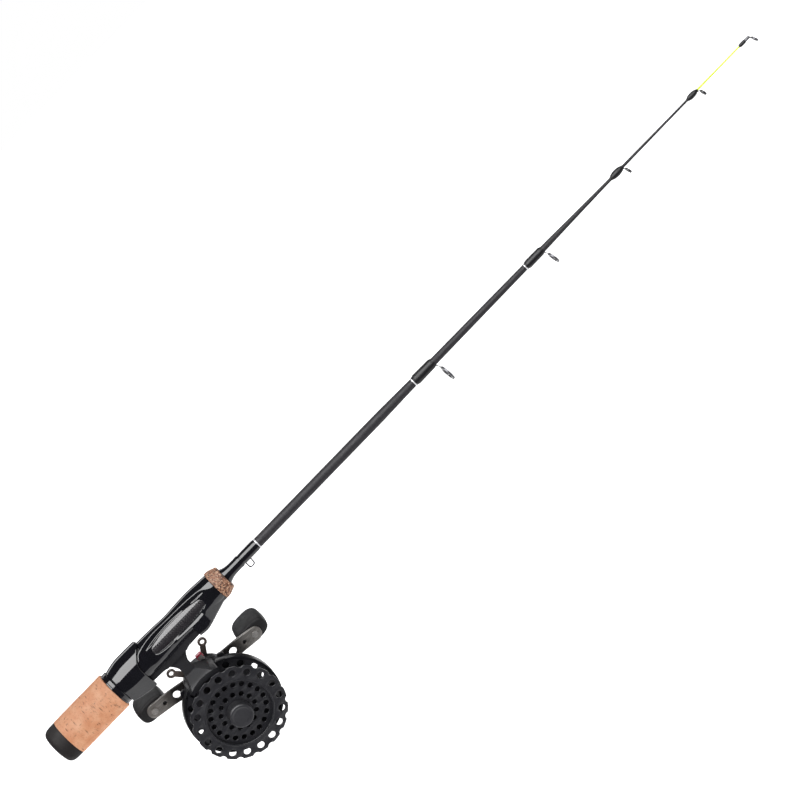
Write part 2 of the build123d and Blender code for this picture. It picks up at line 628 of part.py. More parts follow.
def cover_outline(shrink):
    """Egg-shaped outline round both shafts, made of two circles and their tangent sides."""
    large, small = COVER_RADII["crank"] - shrink, COVER_RADII["spool"] - shrink
    tilt = degrees(asin((large - small) / (CRANK_Z - SPOOL_Z)))
    right = [on_circle(large, tilt, z=CRANK_Z), on_circle(small, tilt)]
    left = [on_circle(large, 180 - tilt, z=CRANK_Z), on_circle(small, 180 - tilt)]
    sides = make_face(Polyline(right[0], right[1], left[1], left[0], close=True))
    return sides + Pos(REEL_X, CRANK_Z) * Circle(large) + Pos(REEL_X, SPOOL_Z) * Circle(small)


def gear_cover():
    """Gear housing shell on the back plate, with ears for its screws and a slot for the click slider."""
    shell = plate(cover_outline(0), *COVER_Y)
    shell -= plate(cover_outline(COVER_WALL), COVER_Y[0] - 1, COVER_Y[1] - COVER_WALL)
    for x, z in ear_places():
        shell += disc(EAR_RADIUS, COVER_Y[0], EAR_Y_FAR, x, z) - plate(cover_outline(COVER_WALL), 0, FAR)
    for x, z in ear_places():
        shell -= disc(SCREW_RADIUS + 0.1, 0, FAR, x, z)
    near, far = BEARING_Y[1]
    shell += collar(BEARING_RADII[0] + 1.6, BEARING_RADII[0], near - 0.2, COVER_Y[1] - COVER_WALL)
    shell -= disc(COVER_BUSH_RADIUS, 0, FAR, z=CRANK_Z)
    slot_low, slot_high = SLIDER_X[0] - 0.3, SLIDER_X[1] + 0.3
    slot = block((REEL_X + slot_low, REEL_X + slot_high), (COVER_Y[0] - 1, SLIDER_Y[1] + 0.2),
                 (CRANK_Z + 5, CRANK_Z + 20))
    return shell - slot


def cover_screws():
    """Four machine screws that hold the cover to the frame."""
    screws = []
    for x, z in ear_places():
        screw = disc(SCREW_RADIUS, PLATE_Y[0] + 0.3, EAR_Y_FAR, x, z)
        screw += disc(SCREW_HEAD_RADIUS, EAR_Y_FAR, EAR_Y_FAR + 1.2, x, z)
        screw -= block((x - 3, x + 3), (EAR_Y_FAR + 0.7, EAR_Y_FAR + 2), (z - 0.25, z + 0.25))
        screws.append(screw)
    return screws


# --- reel: spool ----------------------------------------------------------------------------------------
def hole_ring(holes, y_near, y_far):
    """A circle of round holes, as one cutter."""
    step = 360.0 / holes["count"]
    cutters = []
    for index in range(holes["count"]):
        x, z = on_circle(holes["pitch"], holes["start"] + index * step)
        cutters.append(disc(holes["radius"], y_near - 1, y_far + 1, x, z))
    return cutters


def scalloped_circle(radius, count, depth, phase_deg):
    """Circle with evenly spaced shallow bites in its edge."""
    bite = pi * radius / count * 0.52
    sketch = Pos(REEL_X, SPOOL_Z) * Circle(radius)
    for index in range(count):
        x, z = on_circle(radius + bite - depth, phase_deg + (index + 0.5) * 360.0 / count)
        sketch -= Pos(x, z) * Circle(bite)
    return sketch


def spool_face():
    """Open face of the spool: scalloped flange, step and recessed disc, drilled in three circles."""
    flange = plate(scalloped_circle(FLANGE_RADIUS, SCALLOP_COUNT, SCALLOP_DEPTH, BIG_HOLES["start"]), *FLANGE_Y)
    flange -= disc(STEP_RADIUS, -FAR, FAR)
    step = collar(STEP_RADIUS + STEP_WALL, STEP_RADIUS, FLANGE_Y[0], DISC_Y[1])
    face = flange + step + disc(STEP_RADIUS, *DISC_Y)
    face -= hole_ring(BIG_HOLES, *FLANGE_Y)
    face -= hole_ring(MIDDLE_HOLES, *DISC_Y)
    face -= hole_ring(INNER_HOLES, *DISC_Y)
    return face - disc(SPOOL_SHAFT_RADIUS, -FAR, FAR)


def spool_drum():
    """Drum that the line winds on, open towards the face and closed at its back by a hub disc."""
    outer = STEP_RADIUS + STEP_WALL
    drum = collar(outer, STEP_RADIUS, *DRUM_Y)
    drum += collar(STEP_RADIUS, SPOOL_SHAFT_RADIUS, DRUM_Y[1] - DRUM_DISC_THICKNESS, DRUM_Y[1])
    return drum + collar(DRUM_HUB_RADIUS, SPOOL_SHAFT_RADIUS, *DRUM_Y)


def spool_back_flange():
    """Rear flange of the spool, drilled like the front one."""
    flange = collar(BACK_FLANGE_RADIUS, SPOOL_SHAFT_RADIUS, *BACK_FLANGE_Y)
    return flange - hole_ring(BIG_HOLES, *BACK_FLANGE_Y)


def spool_cap():
    """Round cap nut on the front end of the spool shaft."""
    cap = disc(CAP_RADIUS, *CAP_Y)
    front_edge = cap.edges().filter_by(GeomType.CIRCLE).group_by(Axis.Y)[0]
    return fillet(front_edge, 1.2) - disc(SPOOL_SHAFT_RADIUS, SPOOL_SHAFT_Y[0], 0)


def spool_shaft():
    """Steel shaft that turns with the spool."""
    return disc(SPOOL_SHAFT_RADIUS, *SPOOL_SHAFT_Y)


def shaft_bearings():
    """Two ball bearings, in the back plate and in the cover."""
    return [collar(*BEARING_RADII, near, far) for near, far in BEARING_Y]


def toothed(count, root, tip, root_half_deg, tip_half_deg, phase_deg, z):
    """Sketch of a toothed wheel with straight-sided teeth."""
    corners = []
    for index in range(count):
        middle = phase_deg + index * 360.0 / count
        for radius, offset in ((root, -root_half_deg), (tip, -tip_half_deg), (tip, tip_half_deg),
                               (root, root_half_deg)):
            corners.append(on_circle(radius, middle + offset, z=z))
    return make_face(Polyline(*corners, close=True))


def gear(teeth, y_range, bore, z, phase_deg):
    """Spur gear of the reel's module, cut with running backlash."""
    pitch = GEAR_MODULE * teeth / 2
    addendum, dedendum, half = 0.8 * GEAR_MODULE, 1.15 * GEAR_MODULE, pi * GEAR_MODULE / 4 - 0.07
    flank = 0.364
    tip, root = pitch + addendum, pitch - dedendum
    tip_half = degrees((half - addendum * flank) / tip)
    root_half = degrees((half + dedendum * flank) / pitch)
    wheel = plate(toothed(teeth, root, tip, root_half, tip_half, phase_deg, z), *y_range)
    return wheel - disc(bore, -FAR, FAR, z=z)


def pinion():
    """Small gear on the spool shaft, a tooth gap facing the drive gear."""
    return gear(PINION_TEETH, PINION_Y, SPOOL_SHAFT_RADIUS, SPOOL_Z, 90.0 + 180.0 / PINION_TEETH)


def click_wheel():
    """Notched wheel behind the spool that the click pawl drops into."""
    root, tip = CLICK_WHEEL_RADII
    root_half, tip_half = CLICK_TOOTH_HALF_DEG
    sketch = toothed(CLICK_TEETH, root, tip, root_half, tip_half, 90.0 + 180.0 / CLICK_TEETH, SPOOL_Z)
    return plate(sketch, *CLICK_WHEEL_Y) - disc(SPOOL_SHAFT_RADIUS, -FAR, FAR)


# --- reel: click slider ---------------------------------------------------------------------------------
def click_slider():
    """Thin slide between plate and cover, with a sideways foot that carries the pawl."""
    low_x, high_x = REEL_X + SLIDER_X[0], REEL_X + SLIDER_X[1]
    foot_low, foot_high = (SPOOL_Z + level for level in SLIDER_FOOT)
    strip = block((low_x, high_x), SLIDER_Y, (foot_low, SPOOL_Z + SLIDER_TOP))
    return strip + block((REEL_X - SLIDER_FOOT_HALF_WIDTH, high_x), SLIDER_Y, (foot_low, foot_high))


def click_pawl():
    """Wedge pawl that reaches through the back plate to the click wheel."""
    low, high = (SPOOL_Z + level for level in SLIDER_FOOT)
    wide, narrow = PAWL_HALF_WIDTHS
    shoulder, point = (low + rise for rise in PAWL_RISES)
    side = Polyline((REEL_X - wide, high), (REEL_X + wide, high), (REEL_X + wide, shoulder),
                    (REEL_X + narrow, point), (REEL_X - narrow, point), (REEL_X - wide, shoulder),
                    close=True)
    return plate(make_face(side), CLICK_WHEEL_Y[0] + 0.2, SLIDER_Y[0])


def click_tab():
    """Coloured thumb tab on top of the slide."""
    low, high = (SPOOL_Z + level for level in TAB_Z)
    x_range = (REEL_X + SLIDER_X[0] - 0.5, REEL_X + SLIDER_X[1] + 0.5)
    tab = block(x_range, (PLATE_Y[1] + 0.3, TAB_FAR), (low, high))
    tab = fillet(tab.edges().filter_by(Axis.Y), TAB_CORNER)
    return tab - click_slider()


# --- reel: crank side -----------------------------------------------------------------------------------
def main_shaft():
    """Crank shaft with the flange that the drag stack presses against."""
    shaft = disc(MAIN_SHAFT_RADIUS, *MAIN_SHAFT_Y, z=CRANK_Z)
    return shaft + disc(MAIN_FLANGE_RADIUS, *SHAFT_FLANGE_Y, z=CRANK_Z)


def main_bushes():
    """Bushes for the crank shaft in the back plate and for the drag sleeve in the cover."""
    plate_bush = collar(PLATE_BUSH_RADIUS, MAIN_SHAFT_RADIUS + RUNNING_CLEARANCE, *PLATE_Y, z=CRANK_Z)
    near, far = COVER_Y[1] - COVER_WALL, COVER_Y[1]
    cover_bush = collar(COVER_BUSH_RADIUS, SLEEVE_RADII[0] + RUNNING_CLEARANCE, near, far, z=CRANK_Z)
    return [plate_bush, cover_bush]


def drive_gear():
    """Large gear that drives the pinion, a tooth pointing straight down at rest."""
    return gear(GEAR_TEETH, GEAR_Y, MAIN_SHAFT_RADIUS, CRANK_Z, -90.0)


def drag_washers():
    """Friction washers on both sides of the drive gear."""
    return [collar(FRICTION_WASHER_RADIUS, MAIN_SHAFT_RADIUS, near, far, z=CRANK_Z)
            for near, far in FRICTION_WASHER_Y]


def pressure_plate():
    """Metal plate that spreads the drag sleeve's push."""
    return collar(PRESSURE_PLATE_RADIUS, MAIN_SHAFT_RADIUS, *PRESSURE_PLATE_Y, z=CRANK_Z)


def drag_sleeve():
    """Sleeve that carries the star wheel's push through the cover."""
    return collar(*SLEEVE_RADII, *SLEEVE_Y, z=CRANK_Z)


def spring_washers():
    """Two dished washers between the sleeve and the star wheel."""
    wide, narrow = SPRING_WASHER_RADII
    middle = SPRING_WASHER_Y + SPRING_WASHER_THICKNESS
    first = collar(wide, MAIN_SHAFT_RADIUS, SPRING_WASHER_Y, middle, z=CRANK_Z)
    second = collar(narrow, MAIN_SHAFT_RADIUS, middle, STAR_HUB_Y[0], z=CRANK_Z)
    return [first, second]


def star_wheel():
    """Five-armed drag wheel with an eyelet at the end of each arm."""
    wheel = disc(STAR_HUB_RADIUS, *STAR_HUB_Y, z=CRANK_Z)
    eye_outer, eye_inner = STAR_EYE_RADII
    side = list(zip(STAR_ARM_REACHES, STAR_ARM_HALF_WIDTHS))
    arm = make_face(Polyline(*side, *((reach, -half) for reach, half in reversed(side)), close=True))
    for index in range(STAR_ARMS):
        angle = STAR_FIRST_ANGLE + index * 360.0 / STAR_ARMS
        sketch = arm + Pos(STAR_TIP_RADIUS, 0) * Circle(eye_outer)
        sketch -= Pos(STAR_TIP_RADIUS, 0) * Circle(eye_inner)
        wheel += plate(Pos(REEL_X, CRANK_Z) * Rot(Z=angle) * sketch, *STAR_Y)
    return wheel - disc(MAIN_SHAFT_RADIUS + RUNNING_CLEARANCE, 0, FAR, z=CRANK_Z)


def crank_side(sign):
    """Side view of one half of the crank arm, as (distance along the arm, y) corners."""
    near, t = CRANK_HUB_Y, CRANK_THICKNESS
    bend, level = CRANK_STEP
    rise = CRANK_END_Y - near
    corners = [(0, near), (bend, near), (level, near + rise), (FAR, near + rise),
               (FAR, near + rise + t), (level, near + rise + t), (bend, near + t), (0, near + t)]
    return [(sign * reach, y) for reach, y in corners]


def crank_arm():
    """Double crank arm, stepped outwards towards its ends and drilled to lighten it."""
    outline = Circle(CRANK_HUB_RADIUS)
    for sign in (-1, 1):
        pin = sign * CRANK_PIN_RADIUS
        waist = sign * CRANK_BIG_HOLE["at"]
        web = Polyline((0, CRANK_HUB_RADIUS), (waist, CRANK_WAIST_RADIUS), (pin, CRANK_END_RADIUS),
                       (pin, -CRANK_END_RADIUS), (waist, -CRANK_WAIST_RADIUS), (0, -CRANK_HUB_RADIUS),
                       close=True)
        outline += make_face(web) + Pos(pin, 0) * Circle(CRANK_END_RADIUS)
    for sign in (-1, 1):
        for hole in (CRANK_BIG_HOLE, CRANK_SMALL_HOLE):
            outline -= Pos(sign * hole["at"], 0) * Circle(hole["radius"])
        outline -= Pos(sign * CRANK_PIN_RADIUS, 0) * Circle(SPINDLE_RADIUS)
    flat = plate(outline, 0, FAR)
    side = Part()
    for sign in (-1, 1):
        side += Pos(0, 0, -FAR / 2) * extrude(make_face(Polyline(*crank_side(sign), close=True)), FAR)
    arm = Pos(REEL_X, 0, CRANK_Z) * Rot(Y=-CRANK_REST_ANGLE) * (flat & side)
    return arm - disc(MAIN_SHAFT_RADIUS, 0, FAR, z=CRANK_Z)


def crank_nut():
    """Domed hexagon nut that holds the crank arm on the shaft."""
    hexagon = Pos(REEL_X, CRANK_Z) * RegularPolygon(CRANK_NUT_RADIUS, 6)
    nut = plate(hexagon, CRANK_HUB_Y + CRANK_THICKNESS, CRANK_NUT_FAR)
    nut &= disc(CRANK_NUT_RADIUS - 0.1, 0, FAR, z=CRANK_Z)
    return nut - disc(MAIN_SHAFT_RADIUS, 0, MAIN_SHAFT_Y[1], z=CRANK_Z)


def knob_centres():
    """Pin centres of the two knobs at rest, in X and Z."""
    return [on_circle(CRANK_PIN_RADIUS, CRANK_REST_ANGLE + turn, z=CRANK_Z) for turn in (0, 180)]


def knob_spindles():
    """Headed pins riveted through the arm's ends, one for each knob."""
    near, far = CRANK_END_Y, CRANK_END_Y + CRANK_THICKNESS
    pins = []
    for x, z in knob_centres():
        pin = disc(SPINDLE_RADIUS, near - 0.2, far + KNOB_GAP + SPINDLE_LENGTH, x, z)
        pin += disc(SPINDLE_HEAD_RADIUS, near - 0.8, near, x, z)
        pins.append(pin + disc(SPINDLE_HEAD_RADIUS, far, far + KNOB_GAP - 0.1, x, z))
    return pins


def knob(x, z):
    """Paddle-shaped knob that turns on its spindle."""
    width, length, thickness = KNOB_SIZE
    near = CRANK_END_Y + CRANK_THICKNESS + KNOB_GAP
    body = block((x - width / 2, x + width / 2), (near, near + length), (z - thickness / 2, z + thickness / 2))
    body = fillet(body.edges().filter_by(Axis.Y), KNOB_CORNER)
    body = fillet(body.faces().sort_by(Axis.Y)[-1].edges(), KNOB_END_ROUND)
    return body - disc(SPINDLE_RADIUS + RUNNING_CLEARANCE, near - 1, near + SPINDLE_LENGTH + 0.3, x, z)


# --- assembly -------------------------------------------------------------------------------------------
def rod_nodes():
    """Handle, blank and tip."""
    keeper = hook_keeper()
    blank_solid = blank()
    nodes = {
        "butt_cap": butt_cap(),
        "rear_grip": rear_grip(),
        "lock_nut": lock_nut(),
        "threaded_barrel": threaded_barrel(),
        "sliding_hood": sliding_hood(),
        "seat_body": seat_body(),
        "seat_tube": seat_tube(),
        "seat_arbors": seat_arbors(),
        "fore_ring": fore_ring(),
        "hosel": hosel(keeper),
        "hook_keeper": keeper,
        "keeper_wrap": thread_wrap(HOSEL_FRONT, KEEPER_WRAP_FRONT, [keeper], full_radius=KEEPER_WRAP_RADIUS),
        "trim_rings": trim_rings(),
        "blank": blank_solid,
        "tip_section": tip_section(),
    }
    for number, guide in enumerate(GUIDES, start=1):
        frame = guide_frame(guide, blank_solid + tip_section())
        nodes[f"guide_{number}_frame"] = frame
        nodes[f"guide_{number}_ring"] = guide_ring(guide)
        nodes[f"guide_{number}_wrap"] = thread_wrap(*guide["wrap"], [frame])
    frame = tip_top_frame()
    nodes["tip_top_frame"] = frame
    nodes["tip_top_ring"] = tip_top_ring()
    nodes["tip_top_wrap"] = tip_top_wrap(frame)
    return nodes


def reel_nodes():
    """The mounted reel."""
    near_knob, far_knob = knob_centres()
    return {
        "reel_frame": reel_frame(seat_outside()),
        "gear_cover": gear_cover(),
        "cover_screws": cover_screws(),
        "spool_face": spool_face(),
        "spool_drum": spool_drum(),
        "spool_back_flange": spool_back_flange(),
        "spool_cap": spool_cap(),
        "spool_shaft": spool_shaft(),
        "shaft_bearings": shaft_bearings(),
        "pinion": pinion(),
        "click_wheel": click_wheel(),
        "click_slider": click_slider(),
        "click_pawl": click_pawl(),
        "click_tab": click_tab(),
        "main_shaft": main_shaft(),
        "main_bushes": main_bushes(),
        "drive_gear": drive_gear(),
        "drag_washers": drag_washers(),
        "pressure_plate": pressure_plate(),
        "drag_sleeve": drag_sleeve(),
        "spring_washers": spring_washers(),
        "star_wheel": star_wheel(),
        "crank_arm": crank_arm(),
        "crank_nut": crank_nut(),
        "knob_spindles": knob_spindles(),
        "knob_a": knob(*near_knob),
        "knob_b": knob(*far_knob),
    }


def write_parts(nodes):
    """One STEP file for each node; a list is a group of separate solids."""
    os.makedirs("parts", exist_ok=True)
    for name, shape in nodes.items():
        solids = shape if isinstance(shape, list) else [shape]
        whole = Compound(children=[solid for item in solids for solid in item.solids()])
        export_step(whole, f"parts/{name}.step")


write_parts({**rod_nodes(), **reel_nodes()})
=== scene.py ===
"""Visual model of a short ice fishing rod with a geared inline reel.

Shapes are drawn in millimetres and turned into metres where a piece is made. +X runs along the rod to the
tip, +Z is up and the open face of the spool looks towards -Y. A station is a distance from the butt end.
"""

import json
from math import copysign, cos, pi, radians, sin, sqrt, tan
import random

import bmesh
import bpy
from mathutils import Matrix, Vector, noise
import numpy as np

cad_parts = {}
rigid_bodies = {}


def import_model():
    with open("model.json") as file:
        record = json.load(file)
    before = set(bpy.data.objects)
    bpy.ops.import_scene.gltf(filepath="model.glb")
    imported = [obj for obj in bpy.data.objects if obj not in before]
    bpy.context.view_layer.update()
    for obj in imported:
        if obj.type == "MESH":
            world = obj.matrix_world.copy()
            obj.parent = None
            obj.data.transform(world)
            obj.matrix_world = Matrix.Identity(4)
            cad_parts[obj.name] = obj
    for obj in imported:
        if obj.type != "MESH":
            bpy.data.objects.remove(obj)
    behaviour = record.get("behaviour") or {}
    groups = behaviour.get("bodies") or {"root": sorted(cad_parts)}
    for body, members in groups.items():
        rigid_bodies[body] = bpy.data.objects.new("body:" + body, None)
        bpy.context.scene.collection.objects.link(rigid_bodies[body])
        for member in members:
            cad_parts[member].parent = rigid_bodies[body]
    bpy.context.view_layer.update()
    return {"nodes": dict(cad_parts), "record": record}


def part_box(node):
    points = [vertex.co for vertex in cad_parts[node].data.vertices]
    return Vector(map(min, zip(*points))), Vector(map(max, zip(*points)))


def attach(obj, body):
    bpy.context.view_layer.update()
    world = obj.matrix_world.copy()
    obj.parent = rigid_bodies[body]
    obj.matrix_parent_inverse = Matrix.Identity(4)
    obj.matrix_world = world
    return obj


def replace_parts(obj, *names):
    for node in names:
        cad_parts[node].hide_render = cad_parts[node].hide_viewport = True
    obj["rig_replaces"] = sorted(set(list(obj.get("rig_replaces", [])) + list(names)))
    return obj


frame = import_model()

MM = 0.001
LONGEST_BEND = 0.45  # part of a straight side that one bend may take up
BAR_SIDES = 14
JOINTS = {joint["name"]: joint for joint in frame["record"]["behaviour"]["joints"]}


def limits(node):
    """Lowest and highest corners of a CAD node, in millimetres."""
    low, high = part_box(node)
    return Vector(low) / MM, Vector(high) / MM


def joint_axis(name):
    """X and Z of a reel axis, in millimetres."""
    x, _, z = JOINTS[name]["pos_m"]
    return x / MM, z / MM


BUTT = limits("butt_cap")[0].x
SPOOL = joint_axis("spool_spin")
CRANK = joint_axis("crank_turn")


def at(station):
    """X of a station."""
    return BUTT + station


def span(node):
    """Stations where a node starts and ends."""
    low, high = limits(node)
    return low.x - BUTT, high.x - BUTT


def outside_radius(node):
    """Outside radius of a node that is round about the rod axis."""
    return limits(node)[1].z


# --- numbers and outlines ---
def smooth(table, x):
    """Smooth curve through (x, value) pairs, level beyond both ends. Works on numbers and arrays."""
    knots = np.array(table, dtype=float)
    xs, ys = knots[:, 0], knots[:, 1]
    slopes = np.gradient(ys, xs)
    x = np.clip(np.asarray(x, dtype=float), xs[0], xs[-1])
    index = np.clip(np.searchsorted(xs, x, side="right") - 1, 0, len(xs) - 2)
    step = xs[index + 1] - xs[index]
    t = (x - xs[index]) / step
    return ((2 * t**3 - 3 * t**2 + 1) * ys[index] + (t**3 - 2 * t**2 + t) * step * slopes[index]
            + (3 * t**2 - 2 * t**3) * ys[index + 1] + (t**3 - t**2) * step * slopes[index + 1])


def straight(table, x):
    """Straight runs between (x, value) pairs, level beyond both ends."""
    knots = np.array(table, dtype=float)
    return np.interp(x, knots[:, 0], knots[:, 1])


def eased(low, high, x):
    """0 below low, 1 above high, with a smooth change between."""
    t = np.clip((np.asarray(x, dtype=float) - low) / (high - low), 0.0, 1.0)
    return t * t * (3 - 2 * t)


def rounded(corners, radius, closed=False, steps=4):
    """Outline with bends in place of its corners. A corner may carry its own radius as a third number."""
    result = []
    count = len(corners)
    for index, corner in enumerate(corners):
        here = Vector(corner[:2])
        cut = corner[2] if len(corner) > 2 else radius
        if (not closed and index in (0, count - 1)) or cut == 0:
            result.append(tuple(here))
            continue
        before = Vector(corners[index - 1][:2]) - here
        after = Vector(corners[(index + 1) % count][:2]) - here
        start = here + before.normalized() * min(cut, before.length * LONGEST_BEND)
        end = here + after.normalized() * min(cut, after.length * LONGEST_BEND)
        for step in range(steps + 1):
            t = step / steps
            result.append(tuple(start * (1 - t)**2 + here * 2 * t * (1 - t) + end * t**2))
    return result


def cut_short(outline, step):
    """Outline with every run longer than a step cut into equal parts."""
    result = []
    for (x0, y0), (x1, y1) in zip(outline, outline[1:]):
        parts = max(1, int(sqrt((x1 - x0)**2 + (y1 - y0)**2) / step))
        result += [(x0 + (x1 - x0) * k / parts, y0 + (y1 - y0) * k / parts) for k in range(parts)]
    return result + [outline[-1]]


def polar(radius, angle, centre=(0.0, 0.0)):
    """Point at a radius from a centre, in the direction of an angle."""
    return centre[0] + radius * cos(angle), centre[1] + radius * sin(angle)


def ring_of(radius, count, centre=(0.0, 0.0), start=0.0, sweep=360.0):
    """Points on a circle or an arc of it, whose start and sweep are in degrees."""
    steps = count if sweep == 360.0 else count - 1
    return [polar(radius, radians(start + sweep * index / steps), centre) for index in range(count)]


# --- surfaces: each is (points in millimetres, faces) ---
def lattice(rows, columns, closed):
    """Quads between rows of a tube; the last row joins the first, or both ends get a flat cap."""
    faces = []
    for row in range(rows if closed else rows - 1):
        low, high = row * columns, (row + 1) % rows * columns
        for column in range(columns):
            after = (column + 1) % columns
            faces.append((low + column, low + after, high + after, high + column))
    if not closed:
        faces.append(tuple(range(columns))[::-1])
        faces.append(tuple(range((rows - 1) * columns, rows * columns)))
    return faces


def tube_of(x, y, z, closed):
    """Surface through arrays of coordinates, one row for each section."""
    rows, columns = np.broadcast(x, y, z).shape
    points = np.stack([np.broadcast_to(part, (rows, columns)) for part in (x, y, z)], axis=-1)
    return points.reshape(-1, 3), lattice(rows, columns, closed)


def angles_of(sides):
    """Angles round a section, from the -Y side upwards."""
    return np.arange(sides) * 2 * pi / sides


def on_rod(along, radius, angle):
    """Points about the rod axis, an angle being measured from the -Y side upwards."""
    return along + 0 * angle, -radius * np.cos(angle), radius * np.sin(angle)


def about(axis):
    """Placer of points about a reel axis, which runs along Y."""
    def place(along, radius, angle):
        return axis[0] + radius * np.cos(angle), along + 0 * angle, axis[1] + radius * np.sin(angle)
    return place


def turned(profile, place=on_rod, sides=96, closed=True):
    """Surface of revolution from (along, radius) points."""
    outline = np.array(profile, dtype=float)
    return tube_of(*place(outline[:, :1], outline[:, 1:], angles_of(sides)[None, :]), closed)


def turned_stations(profile, sides=96, closed=True):
    """Surface about the rod axis from (station, radius) points."""
    return turned([(at(station), radius) for station, radius in profile], on_rod, sides, closed)


def superellipse(count, power):
    """Unit section between a circle (power 2) and a rectangle."""
    corners = [(cos(angle), sin(angle)) for angle in angles_of(count)]
    return [tuple(copysign(abs(part)**(2 / power), part) for part in corner) for corner in corners]


def swept(path, widths, heights, power=2.0):
    """Bar along a path in the XZ plane, wide along Y and high across the path, evenly or at every point."""
    points = [Vector(point) for point in path]
    widths, heights = (np.broadcast_to(sizes, len(points)) for sizes in (widths, heights))
    rows = []
    section = superellipse(BAR_SIDES, power)
    for index, point in enumerate(points):
        ahead = points[min(index + 1, len(points) - 1)] - points[max(index - 1, 0)]
        across = Vector((0, 1, 0))
        up = ahead.cross(across).normalized()
        for u, v in section:
            rows.append(point + across * (u * widths[index] / 2) + up * (v * heights[index] / 2))
    return [tuple(row) for row in rows], lattice(len(points), BAR_SIDES, False)


def bent_path(corners, radius):
    """Path in the XZ plane with bends at its corners, cut into short steps."""
    return [(x, 0.0, z) for x, z in cut_short(rounded(corners, radius, steps=6), 0.8)]


def plate(outlines, y_near, y_far, bevel, cuts=()):
    """Flat plate with bevelled edges from outlines in X and Z; inner outlines are holes.

    A cut is a point and a direction in the plate, where its mesh gets an edge to bend along.
    """
    curve = bpy.data.curves.new("plate", "CURVE")
    curve.dimensions = "2D"
    curve.fill_mode = "BOTH"
    curve.extrude = (y_far - y_near) / 2 - bevel
    curve.bevel_depth = bevel
    curve.bevel_resolution = 2
    curve.offset = -bevel
    for outline in outlines:
        line = curve.splines.new("POLY")
        line.points.add(len(outline) - 1)
        for point, (x, z) in zip(line.points, outline):
            point.co = (x, z, 0.0, 1.0)
        line.use_cyclic_u = True
    holder = bpy.data.objects.new("plate", curve)
    mesh = bpy.data.meshes.new_from_object(holder)
    work = bmesh.new()
    work.from_mesh(mesh)
    bmesh.ops.remove_doubles(work, verts=work.verts, dist=bevel * 0.02)
    for place, normal in cuts:
        everything = work.verts[:] + work.edges[:] + work.faces[:]
        bmesh.ops.bisect_plane(work, geom=everything, plane_co=(*place, 0), plane_no=(*normal, 0))
    middle = (y_near + y_far) / 2
    work.verts.index_update()
    points = [(v.co.x, middle + v.co.z, v.co.y) for v in work.verts]
    faces = [tuple(v.index for v in face.verts) for face in work.faces]
    work.free()
    bpy.data.objects.remove(holder)
    bpy.data.curves.remove(curve)
    bpy.data.meshes.remove(mesh)
    return points, faces


def joined(*surfaces):
    """Several surfaces as one."""
    points, faces = [], []
    for more_points, more_faces in surfaces:
        shift = len(points)
        points.extend(tuple(point) for point in more_points)
        faces.extend(tuple(index + shift for index in face) for face in more_faces)
    return points, faces


def moved(surface, matrix):
    """Surface carried by a matrix."""
    points, faces = surface
    return [tuple(matrix @ Vector(point)) for point in points], faces


# --- materials ---
def srgb(*levels):
    """Linear colour from screen levels of 0 to 255."""
    parts = [level / 255 for level in levels]
    return tuple(p / 12.92 if p <= 0.04045 else ((p + 0.055) / 1.055)**2.4 for p in parts) + (1.0,)


